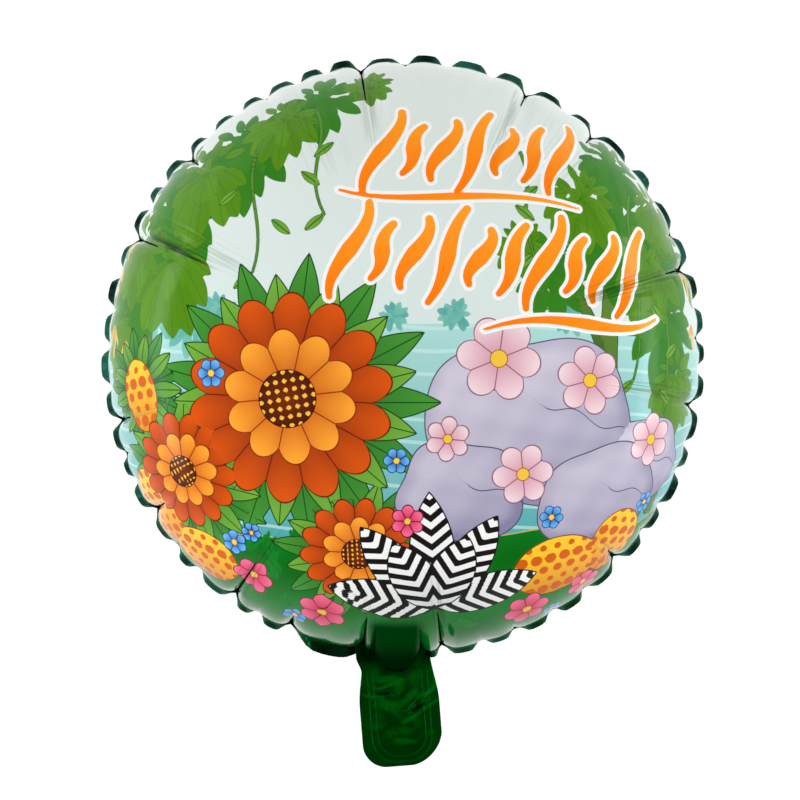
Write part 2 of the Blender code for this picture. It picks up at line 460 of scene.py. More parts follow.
@dataclass
class MeshSketch:
    """Points and faces of a mesh while it grows."""

    points: list[np.ndarray] = field(default_factory=list)
    faces: list[tuple[int, ...]] = field(default_factory=list)
    count: int = 0

    def add(self, points: np.ndarray) -> np.ndarray:
        """Adds points and returns their numbers."""
        self.points.append(points)
        self.count += len(points)
        return np.arange(self.count - len(points), self.count)

    def join(self, inner: np.ndarray, outer: np.ndarray) -> None:
        """Puts quads between two closed rings of as many points."""
        after = np.roll(inner, -1), np.roll(outer, -1)
        self.faces += zip(*(side.tolist() for side in (inner, outer, after[1], after[0])))

    def zip_rings(
        self, inner: np.ndarray, inner_turn: np.ndarray, outer: np.ndarray, outer_turn: np.ndarray
    ) -> None:
        """Puts triangles between two closed rings with any numbers of points.

        Args:
            inner: Points of the inner ring.
            inner_turn: Their angles, rising.
            outer: Points of the outer ring.
            outer_turn: Their angles, rising.
        """
        inner_next = np.append(inner_turn[1:], inner_turn[0] + FULL_TURN)
        outer_next = np.append(outer_turn[1:], outer_turn[0] + FULL_TURN)
        i = j = 0
        while i < len(outer) or j < len(inner):
            corner = (int(inner[j % len(inner)]), int(outer[i % len(outer)]))
            if j >= len(inner) or (i < len(outer) and outer_next[i] <= inner_next[j]):
                i += 1
                self.faces.append(corner + (int(outer[i % len(outer)]),))
            else:
                j += 1
                self.faces.append(corner + (int(inner[j % len(inner)]),))

    def fan(self, centre: int, ring: np.ndarray) -> None:
        """Closes a ring with triangles to one point."""
        after = np.roll(ring, -1)
        self.faces += [(centre, int(a), int(b)) for a, b in zip(ring, after)]

    def build(self, name: str, material: bpy.types.Material, flip: bool = False) -> bpy.types.Object:
        """Makes the object.

        Args:
            name: The object's name.
            material: Its finish.
            flip: Turns every face over.

        Returns:
            The object, linked to the scene.
        """
        faces = [face[::-1] for face in self.faces] if flip else self.faces
        mesh = bpy.data.meshes.new(name)
        mesh.from_pydata(np.concatenate(self.points).tolist(), [], faces)
        mesh.materials.append(material)
        mesh.shade_smooth()
        mesh.set_sharp_from_angle(angle=math.radians(SHARP_EDGE_DEGREES))
        return put_in_scene(name, mesh)


RGBA = tuple[float, float, float, float]


def ink(red: int, green: int, blue: int) -> RGBA:
    """Turns a display colour, 0 to 255, into the linear one that shaders use."""
    linear = []
    for part in (red, green, blue):
        share = part / 255
        linear.append(share / 12.92 if share <= 0.04045 else ((share + 0.055) / 1.055) ** 2.4)
    return (*linear, 1.0)


class Wire:
    """A value in a node tree. Arithmetic on it adds Math nodes."""

    def __init__(self, sheet: "Sheet", socket: bpy.types.NodeSocket) -> None:
        self.sheet = sheet
        self.socket = socket

    def math(self, operation: str, *values: Any, clamp: bool = False) -> "Wire":
        """Adds one Math node on this value and others."""
        settings = {"operation": operation, "use_clamp": clamp}
        return self.sheet.node("ShaderNodeMath", settings, dict(enumerate((self, *values))))

    def __add__(self, other: Any) -> "Wire":
        """Adds a value."""
        return self.math("ADD", other)

    def __mul__(self, other: Any) -> "Wire":
        """Multiplies by a value."""
        return self.math("MULTIPLY", other)

    def __rsub__(self, other: Any) -> "Wire":
        """Is taken away from a value."""
        return (self * -1.0) + other

    def below(self, limit: float, soft: float) -> "Wire":
        """A mask that is 1 under a limit, with an edge of so much width."""
        return self.math("MULTIPLY_ADD", -1 / soft, limit / soft + 0.5, clamp=True)

    def above(self, limit: float, soft: float) -> "Wire":
        """A mask that is 1 over a limit."""
        return self.math("MULTIPLY_ADD", 1 / soft, 0.5 - limit / soft, clamp=True)

    def near(self, width: float, soft: float) -> "Wire":
        """A mask that is 1 closer to 0 than a width."""
        return self.math("ABSOLUTE").below(width, soft)


class Sheet:
    """A material's node tree while it is put together."""

    def __init__(self, name: str) -> None:
        self.material = bpy.data.materials.new(name)
        self.material.use_nodes = True
        self.tree = self.material.node_tree
        self.shader = self.tree.nodes["Principled BSDF"]

    def node(
        self, kind: str, settings: dict[str, Any], values: dict[int | str, Any], output: int | str = 0
    ) -> Wire:
        """Adds a node.

        Args:
            kind: The node's type.
            settings: Its properties.
            values: What goes into its sockets, by number or name.
            output: Which output to give back.

        Returns:
            The output.
        """
        made = self.tree.nodes.new(kind)
        for name, setting in settings.items():
            setattr(made, name, setting)
        for key, value in values.items():
            self.feed(made.inputs[key], value)
        return Wire(self, made.outputs[output])

    def feed(self, socket: bpy.types.NodeSocket, value: Any) -> None:
        """Links a wire to a socket, or sets the socket's own value."""
        if isinstance(value, Wire):
            self.tree.links.new(value.socket, socket)
        else:
            socket.default_value = value

    def mix(self, factor: Any, first: Any, second: Any, way: str = "MIX") -> Wire:
        """Mixes two colours by a mask, or multiplies them where the way is MULTIPLY."""
        settings = {"data_type": "RGBA", "blend_type": way}
        return self.node("ShaderNodeMix", settings, {0: factor, 6: first, 7: second}, 2)

    def blend(self, factor: Any, first: float, second: float) -> Wire:
        """A number between two, by a mask."""
        return factor * (second - first) + first

    def attribute(self, name: str) -> Wire:
        """What the mesh stores at each point under a name."""
        return self.node("ShaderNodeAttribute", {"attribute_name": name}, {}, "Vector")

    def split(self, name: str) -> tuple[Wire, Wire, Wire]:
        """The three numbers of a vector attribute of the mesh."""
        parts = self.node("ShaderNodeSeparateXYZ", {}, {0: self.attribute(name)})
        return tuple(Wire(self, parts.socket.node.outputs[k]) for k in range(3))

    def noise(self, vector: Any, scale: float, detail: float = 2.0, rough: float = 0.5) -> Wire:
        """Smooth noise between 0 and 1."""
        values = {"Vector": vector, "Scale": scale, "Detail": detail, "Roughness": rough}
        return self.node("ShaderNodeTexNoise", {}, values, 0)

    def streaks(self, scale: float) -> Wire:
        """Fine noise that is drawn out towards the middle of a film, between 0 and 1."""
        spread = {0: self.attribute("run"), 1: (scale, scale, 1.0)}
        drawn_out = self.node("ShaderNodeVectorMath", {"operation": "MULTIPLY"}, spread)
        return self.noise(drawn_out, 1.0, 2.0, 0.55)

    def place(self) -> Wire:
        """The point's own place on the object, in metres."""
        return self.node("ShaderNodeTexCoord", {}, {}, "Object")

    def bump(self, height: Wire, depth: float, normal: Wire | None = None) -> Wire:
        """A normal from a height of 0 to 1 that stands for so many metres."""
        values: dict[int | str, Any] = {"Strength": 1.0, "Distance": depth, "Height": height}
        if normal is not None:
            values["Normal"] = normal
        return self.node("ShaderNodeBump", {}, values, 0)

    def surface(self, **values: Any) -> bpy.types.Material:
        """Feeds the surface shader by its sockets' names, with _ for a space."""
        for name, value in values.items():
            self.feed(self.shader.inputs[name.replace("_", " ")], value)
        return self.material


class Detail(Enum):
    """What the third number of a print layer draws."""

    NONE = "nothing"
    LINES = "thin lines where it crosses zero"
    MARKS = "a second colour where it is above zero"


@dataclass(frozen=True)
class LayerInk:
    """The colours that one layer of the print is inked in. Widths are in millimetres."""

    layer: str
    shade: RGBA
    light: RGBA
    outline: RGBA
    outline_width: float = 0.7
    detail: Detail = Detail.LINES
    detail_width: float = 0.3
    mark: RGBA = (0.0, 0.0, 0.0, 1.0)
    soft: float = 0.3

    def over(self, sheet: Sheet, below: Wire) -> Wire:
        """Prints the layer over a colour and returns the result."""
        edge, tone, detail = sheet.split(self.layer)
        if self.outline_width > 0:
            below = sheet.mix(edge.below(self.outline_width, self.soft), below, self.outline)
        fill = sheet.mix(tone, self.shade, self.light)
        if self.detail is Detail.LINES:
            fill = sheet.mix(detail.near(self.detail_width, self.soft), fill, self.outline)
        elif self.detail is Detail.MARKS:
            fill = sheet.mix(detail.above(0.0, self.soft), fill, self.mark)
        return sheet.mix(edge.below(0.0, self.soft), below, fill)


FOIL_EDGE = ink(120, 200, 150)
BAND_EDGE = ink(200, 226, 214)
LEAF_LINE = ink(22, 70, 18)
BLOSSOM_LINE = ink(92, 24, 8)
BLACK = ink(24, 18, 18)
WHITE = ink(244, 244, 242)

PRINT_INKS = (
    LayerInk("far_trees", ink(70, 156, 152), ink(128, 196, 178), ink(70, 156, 152), 0, Detail.NONE),
    LayerInk("trunks", ink(40, 84, 30), ink(112, 150, 60), ink(30, 62, 22), 0.5, Detail.NONE),
    LayerInk("canopy_dark", ink(40, 116, 26), ink(62, 132, 30), ink(34, 100, 22), 0, Detail.NONE),
    LayerInk("canopy_mid", ink(72, 126, 8), ink(92, 146, 30), ink(56, 112, 12), 0.25, detail_width=0.15),
    LayerInk("canopy_gold", ink(196, 150, 30), ink(248, 196, 72), ink(150, 110, 20), 0, Detail.NONE),
    LayerInk("vines", ink(60, 120, 36), ink(120, 176, 60), ink(38, 84, 26), 0.3),
    LayerInk("ground", ink(0, 100, 10), ink(0, 124, 34), ink(206, 170, 60), 0.7, Detail.NONE),
    LayerInk("blades", ink(0, 88, 16), ink(14, 142, 40), ink(0, 80, 16), 0, Detail.NONE),
    LayerInk("stones_back", ink(140, 138, 168), ink(204, 198, 214), ink(84, 78, 104)),
    LayerInk("broad_under", ink(24, 96, 34), ink(80, 160, 56), ink(18, 66, 22)),
    LayerInk("broad_over", ink(50, 122, 40), ink(128, 184, 66), LEAF_LINE),
    LayerInk("stones_front", ink(132, 128, 160), ink(196, 190, 208), ink(76, 70, 96)),
    LayerInk(
        "gourds",
        ink(214, 130, 12),
        ink(252, 198, 48),
        ink(120, 60, 8),
        0.7,
        Detail.MARKS,
        mark=ink(206, 92, 8),
    ),
    LayerInk("petals_outer", ink(104, 24, 10), ink(216, 84, 12), BLOSSOM_LINE, 0.8),
    LayerInk("petals_inner", ink(190, 60, 8), ink(252, 164, 50), ink(124, 40, 8), 0.7),
    LayerInk(
        "hearts",
        ink(120, 44, 14),
        ink(64, 18, 10),
        ink(50, 14, 8),
        0.5,
        Detail.MARKS,
        mark=ink(246, 190, 60),
    ),
    LayerInk("striped_under", ink(222, 222, 224), WHITE, BLACK, 0.8, Detail.MARKS, mark=BLACK),
    LayerInk("striped_over", ink(214, 214, 218), WHITE, BLACK, 0.8, Detail.MARKS, mark=BLACK),
    LayerInk("pink", ink(214, 150, 168), ink(240, 214, 220), ink(140, 90, 112)),
    LayerInk("hot_pink", ink(206, 24, 84), ink(250, 110, 150), ink(110, 12, 44)),
    LayerInk("blue", ink(26, 84, 176), ink(110, 186, 240), ink(16, 50, 110), 0.5),
    LayerInk("eyes", ink(196, 140, 20), ink(252, 206, 70), ink(120, 70, 20), 0.4, Detail.NONE),
    LayerInk("brush_strokes", ink(255, 122, 0), ink(255, 158, 36), WHITE, 2.0, Detail.NONE),
)


@dataclass(frozen=True)
class PrintedFilm:
    """The front film: ink on metallised film under a glossy skin, green foil past the print.

    Heights on the flat film and widths of lines are in millimetres.
    """

    horizon: float = 17.0
    shore: float = -112.0
    sky_height: float = 205.0
    sky_low: RGBA = ink(214, 228, 224)
    sky_high: RGBA = ink(221, 227, 221)
    water_far: RGBA = ink(172, 218, 212)
    water_near: RGBA = ink(66, 160, 166)
    water_glint: RGBA = ink(206, 236, 232)
    foot_height: float = -150.0
    foot_blend: float = 60.0
    foot_colour: RGBA = ink(0, 60, 34)
    foot_share: float = 0.35
    roughness: float = 0.30
    metallic: float = 0.05
    neck_colour: RGBA = ink(0, 50, 9)
    # painted shade at the end of the neck, where the film turns down to the seam
    neck_end: RGBA = ink(0, 20, 4)
    neck_end_share: float = 0.8
    # painted shade on the band's foil towards the bottom of the film
    foot_foil: RGBA = ink(4, 46, 14)
    foot_foil_share: float = 0.8
    # the band's foil in patches of painted reflection, lighter and darker
    foil_colour: RGBA = ink(32, 80, 68)
    foil_dark: RGBA = ink(8, 26, 21)
    patch_scale: float = 0.22
    foil_roughness: float = 0.24
    specular_level: float = 0.0
    coat_ior: float = 1.22
    coat_roughness: float = 0.15
    # painted shade of the fine wrinkle strands: its strength and its colour
    strand_shade: float = 0.8
    strand_colour: RGBA = ink(84, 122, 84)
    strand_scale: float = 3.0
    strand_depth: float = 0.0005
    strands_everywhere: float = 0.12
    # painted shade: the colour of the dark line in the bottom of each long crease
    crease_colour: RGBA = ink(4, 12, 8)
    crease_line: float = 0.42
    soft: float = 0.3
    billow_scale: float = 18.0
    billow_depth: float = 0.0012

    def sky_and_water(self, sheet: Sheet, across: Wire, up: Wire) -> Wire:
        """The pale sky over water with faint glints, by places on the flat film."""
        height = up.math("MULTIPLY_ADD", 1 / self.sky_height, -self.horizon / self.sky_height, clamp=True)
        sky = sheet.mix(height, self.sky_low, self.sky_high)
        span = self.horizon - self.shore
        depth = up.math("MULTIPLY_ADD", -1 / span, self.horizon / span, clamp=True)
        ripple = (up * 0.5 + across.math("MULTIPLY", 0.09).math("SINE") * 0.6).math("SINE")
        water = sheet.mix(depth, self.water_far, self.water_near)
        water = sheet.mix(ripple.above(0.88, 0.1) * 0.5, water, self.water_glint)
        return sheet.mix(up.below(self.horizon, 0.4), sky, water)

    def material(self, name: str) -> bpy.types.Material:
        """Builds the finish.

        Args:
            name: The material's name.

        Returns:
            The material.
        """
        sheet = Sheet(name)
        across, up, _ = sheet.split("flat")
        colour = self.sky_and_water(sheet, across, up)
        for layer_ink in PRINT_INKS:
            colour = layer_ink.over(sheet, colour)
        edge, neck, neck_end = sheet.split("zone")
        across, crease, strands = sheet.split("folds")
        foot = up.below(self.foot_height, self.foot_blend)
        colour = sheet.mix(foot * self.foot_share, colour, self.foot_colour)
        colour = sheet.mix(neck, colour, self.neck_colour)
        # painted shade at the end of the neck
        colour = sheet.mix(neck_end * self.neck_end_share, colour, self.neck_end)
        printed = edge.below(0.0, self.soft)
        # painted reflections: the band's foil lighter and darker in patches
        patches = sheet.noise(sheet.attribute("run"), self.patch_scale, 2.0).above(0.55, 0.2)
        foil = sheet.mix(patches, self.foil_dark, self.foil_colour)
        # painted shade: the band's foil darker towards the bottom of the film
        foil = sheet.mix(foot * self.foot_foil_share, foil, self.foot_foil)
        colour = sheet.mix(printed, foil, colour)
        streak = sheet.streaks(self.strand_scale)
        # painted shade: fine dark strands along the wrinkles, over a bump made of the same streaks
        shade = (streak.above(0.52, 0.12) * strands * self.strand_shade).math("MINIMUM", 1.0)
        colour = sheet.mix(shade, colour, self.strand_colour, "MULTIPLY")
        # painted shade: a dark line along the bottom of each long crease
        line = across.near(self.crease_line, self.soft) * crease.above(0.3, 0.3)
        colour = sheet.mix(line, colour, self.crease_colour)
        billow = sheet.noise(sheet.place(), self.billow_scale, 1.0)
        normal = sheet.bump(billow, self.billow_depth)
        normal = sheet.bump(streak * (strands + self.strands_everywhere), self.strand_depth, normal)
        return sheet.surface(
            Base_Color=colour,
            Metallic=sheet.blend(printed, 1.0, self.metallic),
            Roughness=sheet.blend(printed, self.foil_roughness, self.roughness),
            Coat_Weight=printed * (1.0 - neck) * (1.0 - line),
            Specular_Tint=BAND_EDGE,
            Coat_Roughness=self.coat_roughness,
            Specular_IOR_Level=self.specular_level,
            Coat_IOR=self.coat_ior,
            Normal=normal,
        )


@dataclass(frozen=True)
class GreenFoil:
    """Dark green metallised film with fine crinkles, and the tail's heat-seal lines.

    Widths and lengths of the seals and the dark root are in millimetres.
    """

    colour: RGBA = ink(2, 84, 16)
    # the lighter patches of the foil are painted sheen
    lighter: RGBA = ink(6, 112, 34)
    seal_colour: RGBA = ink(16, 176, 56)
    patch_scale: float = 30.0
    least_roughness: float = 0.19
    roughness_range: float = 0.14
    seal_roughness: float = 0.2
    crinkle_scale: float = 55.0
    crinkle_depth: float = 0.0009
    shade: RGBA = ink(0, 40, 14)
    root_shade: RGBA = ink(0, 20, 4)
    root_end: float = 10.0
    root_fade: float = 14.0
    root_share: float = 0.85
    seal_line: float = 0.35
    seals_begin: float = 12.0
    seals_fade: float = 4.0
    break_scale: float = 900.0
    soft: float = 0.3
    streak_scale: float = 1.2
    streak_depth: float = 0.0012
    streak_share: float = 0.6
    has_seals: bool = False
    has_streaks: bool = False

    def material(self, name: str) -> bpy.types.Material:
        """Builds the finish.

        Args:
            name: The material's name.

        Returns:
            The material.
        """
        sheet = Sheet(name)
        place = sheet.place()
        patches = sheet.noise(place, self.patch_scale, 3.0)
        # painted sheen: lighter patches at random places on the foil
        colour = sheet.mix(patches.above(0.5, 0.4), self.colour, self.lighter)
        rough = patches * self.roughness_range + self.least_roughness
        if self.has_seals:
            outer, inner, along = sheet.split("seals")
            on_line = [seal.near(self.seal_line, self.soft) for seal in (outer, inner)]
            lines = on_line[0].math("MAXIMUM", on_line[1])
            broken = sheet.noise(place, self.break_scale, 1.0).above(0.42, 0.2)
            broken = broken * along.above(self.seals_begin, self.seals_fade)
            colour = sheet.mix(lines * broken, colour, self.seal_colour)
            root = along.below(self.root_end, self.root_fade) * self.root_share
            colour = sheet.mix(root, colour, self.root_shade)
            rough = rough + lines * self.seal_roughness
        fine = sheet.noise(place, self.crinkle_scale * 6, 2.0)
        crinkle = sheet.noise(place, self.crinkle_scale, 3.0, 0.6)
        normal = sheet.bump(fine, self.crinkle_depth * 0.12)
        normal = sheet.bump(crinkle, self.crinkle_depth, normal)
        if self.has_streaks:
            streak = sheet.streaks(self.streak_scale)
            colour = sheet.mix(streak.above(0.55, 0.3) * self.streak_share, colour, self.shade)
            normal = sheet.bump(streak, self.streak_depth, normal)
        return sheet.surface(
            Base_Color=colour,
            Metallic=1.0,
            Roughness=rough,
            Specular_Tint=FOIL_EDGE,
            Normal=normal,
        )


@dataclass(frozen=True)
class ClearFilm:
    """The valve's soft clear film, slightly milky."""

    clear: RGBA = ink(206, 212, 206)
    milky: RGBA = ink(188, 198, 190)
    cloud_scale: float = 120.0
    cloud_depth: float = 0.0002
    least_roughness: float = 0.25
    roughness_range: float = 0.2
    alpha: float = 0.6

    def material(self, name: str) -> bpy.types.Material:
        """Builds the finish with the given name."""
        sheet = Sheet(name)
        cloudy = sheet.noise(sheet.place(), self.cloud_scale, 2.0)
        colour = sheet.mix(cloudy, self.clear, self.milky)
        rough = cloudy * self.roughness_range + self.least_roughness
        normal = sheet.bump(cloudy, self.cloud_depth)
        return sheet.surface(Base_Color=colour, Roughness=rough, Alpha=self.alpha, Normal=normal)


# the edge of a layer where it has no shape, and a detail that draws nothing
FAR_OFF = 40.0
NO_DETAIL = 9.0


def around(cx: float, cy: float, turn: float, reach: float) -> Pair:
    """The place at a distance from (cx, cy) in a direction in radians."""
    return cx + reach * math.cos(turn), cy + reach * math.sin(turn)


@dataclass
class Layer:
    """One layer of the print: three numbers at every point of the film.

    The edge is the distance to its nearest shape in millimetres, less than 0 inside. The tone
    runs from 0 to 1. The detail crosses 0 along the lines inside a shape.
    """

    x: np.ndarray
    y: np.ndarray
    edge: np.ndarray
    tone: np.ndarray
    detail: np.ndarray

    @classmethod
    def blank(cls, x: np.ndarray, y: np.ndarray) -> "Layer":
        """An empty layer over points given in millimetres."""
        return cls(x, y, *(np.full(len(x), value) for value in (FAR_OFF, 0.5, NO_DETAIL)))

    def lay(self, edge: np.ndarray, tone: Numbers, detail: Numbers = NO_DETAIL) -> None:
        """Adds a shape, which takes over where it is the nearest one.

        Args:
            edge: Distance to the shape's edge, less than 0 inside.
            tone: Its tone, one number or one for each point.
            detail: Its detail, likewise.
        """
        nearer = edge < self.edge
        self.tone = np.where(nearer, tone, self.tone)
        self.detail = np.where(nearer, detail, self.detail)
        self.edge = np.minimum(edge, self.edge)

    def turned(self, cx: float, cy: float, turn: float = 0) -> tuple[np.ndarray, np.ndarray]:
        """The points in a frame at (cx, cy) that is turned by so many degrees."""
        cos, sin = math.cos(math.radians(turn)), math.sin(math.radians(turn))
        dx, dy = self.x - cx, self.y - cy
        return dx * cos + dy * sin, dy * cos - dx * sin

    def oval(self, cx: float, cy: float, rx: float, ry: float, turn: float = 0) -> np.ndarray:
        """Distance to an oval's edge."""
        u, v = self.turned(cx, cy, turn)
        level = np.sqrt((u / rx) ** 2 + (v / ry) ** 2) + 1e-6
        slope = np.sqrt((u / rx**2) ** 2 + (v / ry**2) ** 2) + 1e-6
        return level * (level - 1) / slope

    def boulder(self, cx: float, cy: float, rx: float, ry: float, seed: int) -> None:
        """Lays an uneven rounded stone, lighter at its top left, with one crack."""
        u, v = self.turned(cx, cy)
        turn = np.arctan2(v / ry, u / rx)
        draw = np.random.default_rng(seed)
        uneven = sum(
            draw.uniform(0.02, 0.06) * np.cos(k * turn + draw.uniform(0, FULL_TURN)) for k in (2, 3, 4, 5)
        )
        edge = self.oval(cx, cy, rx, ry) - uneven * min(rx, ry)
        mottled = 0.1 * np.sin(u / 6 + v / 9 + seed) * np.sin(v / 4 - u / 11)
        rounded = 0.35 * smooth_rise(edge, -10, 0)
        tone = np.clip(0.68 + 0.42 * v / ry - 0.22 * u / rx - rounded + mottled, 0, 1)
        crack = v - 0.25 * ry + 0.35 * u + 2.5 * np.sin(u / 5)
        crack = crack + np.sign(crack) * np.maximum(0, 0.1 * rx - u)
        self.lay(edge, tone, crack)

    def leaf(self, base: Pair, tip: Pair, width: float) -> tuple[np.ndarray, np.ndarray, np.ndarray]:
        """A pointed leaf.

        Args:
            base: Where it grows from.
            tip: Its point.
            width: Its greatest width.

        Returns:
            Distance to its edge, distance to its midrib with a sign, and the share of its
            length at each point.
        """
        length = math.dist(base, tip)
        u, v = self.turned(*base, math.degrees(math.atan2(tip[1] - base[1], tip[0] - base[0])))
        reach = (length**2 + width**2) / (4 * width)
        away = np.hypot(u - length / 2, np.abs(v) + reach - width / 2)
        return away - reach, v, u / length

    def lay_leaf(self, base: Pair, tip: Pair, width: float, tone: float, rise: float) -> None:
        """Lays a leaf with its midrib. Its tone rises by so much from base to tip."""
        edge, rib, share = self.leaf(base, tip, width)
        self.lay(edge, np.clip(tone + rise * share, 0, 1), rib)

    def stroke(self, route: Sequence[Pair], radii: Sequence[float]) -> tuple[np.ndarray, np.ndarray]:
        """A brush stroke of changing width along a smooth route.

        Args:
            route: Three or four points that steer it.
            radii: Its half width at its start, middle and end.

        Returns:
            Distance to its edge, and the share of its length at each point.
        """
        steps = 14
        share = np.linspace(0, 1, steps + 1)
        order = len(route) - 1
        weights = [
            math.comb(order, k) * share**k * (1 - share) ** (order - k) for k in range(order + 1)
        ]
        px = sum(w * point[0] for w, point in zip(weights, route))
        py = sum(w * point[1] for w, point in zip(weights, route))
        half = np.interp(share, (0, 0.5, 1), radii)
        edge = np.full(len(self.x), 99.0)
        place = np.zeros(len(self.x))
        for k in range(steps):
            dx, dy = px[k + 1] - px[k], py[k + 1] - py[k]
            along = ((self.x - px[k]) * dx + (self.y - py[k]) * dy) / (dx * dx + dy * dy)
            along = np.clip(along, 0, 1)
            near = np.hypot(self.x - px[k] - along * dx, self.y - py[k] - along * dy)
            near = near - (half[k] + (half[k + 1] - half[k]) * along)
            place = np.where(near < edge, (k + along) / steps, place)
            edge = np.minimum(edge, near)
        return edge, place

    def lay_stroke(
        self, route: Sequence[Pair], radii: Sequence[float], tone: float = 0.0, rise: float = 1.0
    ) -> None:
        """Lays a stroke. Its tone rises by so much from start to end."""
        edge, share = self.stroke(route, radii)
        self.lay(edge, np.clip(tone + rise * share, 0, 1))

    def blossom(
        self, cx: float, cy: float, radius: float, petals: int, turn: float, notch: float
    ) -> None:
        """Lays a round blossom, darker at its heart. The number of petals is even."""
        u, v = self.turned(cx, cy, turn)
        away = np.hypot(u, v)
        wave = np.cos(petals * np.arctan2(v, u) / 2)
        reach = radius * (1 - notch + notch * np.abs(wave) ** 0.7)
        fold = away * wave * 2 / petals
        self.lay(
            (away - reach) * 0.9,
            np.clip(away / radius * 1.15 - 0.1, 0, 1) * (0.75 + 0.25 * np.abs(wave)),
            np.where(away < radius * 0.12, NO_DETAIL, fold),
        )

    def clump(
        self, cx: float, cy: float, radius: float, leaves: int, seed: int, droop: float = 0.0
    ) -> None:
        """Lays a rounded mass of leaves.

        Args:
            cx: Its middle.
            cy: Its middle.
            radius: How far its leaves reach.
            leaves: How many show.
            seed: Start of the draws.
            droop: How far the leaves turn downwards, 0 to 1.
        """
        draw = np.random.default_rng(seed)
        for count, start, end in ((leaves, 0.35, 1.0), (leaves // 2 + 2, 0.0, 0.62)):
            for step in range(count):
                turn = FULL_TURN * (step + draw.uniform(-0.3, 0.3)) / count
                out = radius * start * draw.uniform(0.6, 1.0)
                reach = radius * end * draw.uniform(0.85, 1.1)
                base = around(cx, cy, turn, out)
                tip = (
                    cx + reach * math.cos(turn) * (1 - 0.3 * droop),
                    cy + reach * math.sin(turn) - droop * radius * 0.4,
                )
                width = max(3.0, math.dist(base, tip) * draw.uniform(0.36, 0.5))
                self.lay_leaf(base, tip, width, draw.uniform(0.1, 0.7), 0.3)


class Picture(dict[str, Layer]):
    """The layers of the print by name, each made blank when it is first asked for."""

    def __init__(self, x: np.ndarray, y: np.ndarray) -> None:
        super().__init__()
        self.x = x
        self.y = y

    def __missing__(self, name: str) -> Layer:
        """Makes a blank layer."""
        self[name] = Layer.blank(self.x, self.y)
        return self[name]


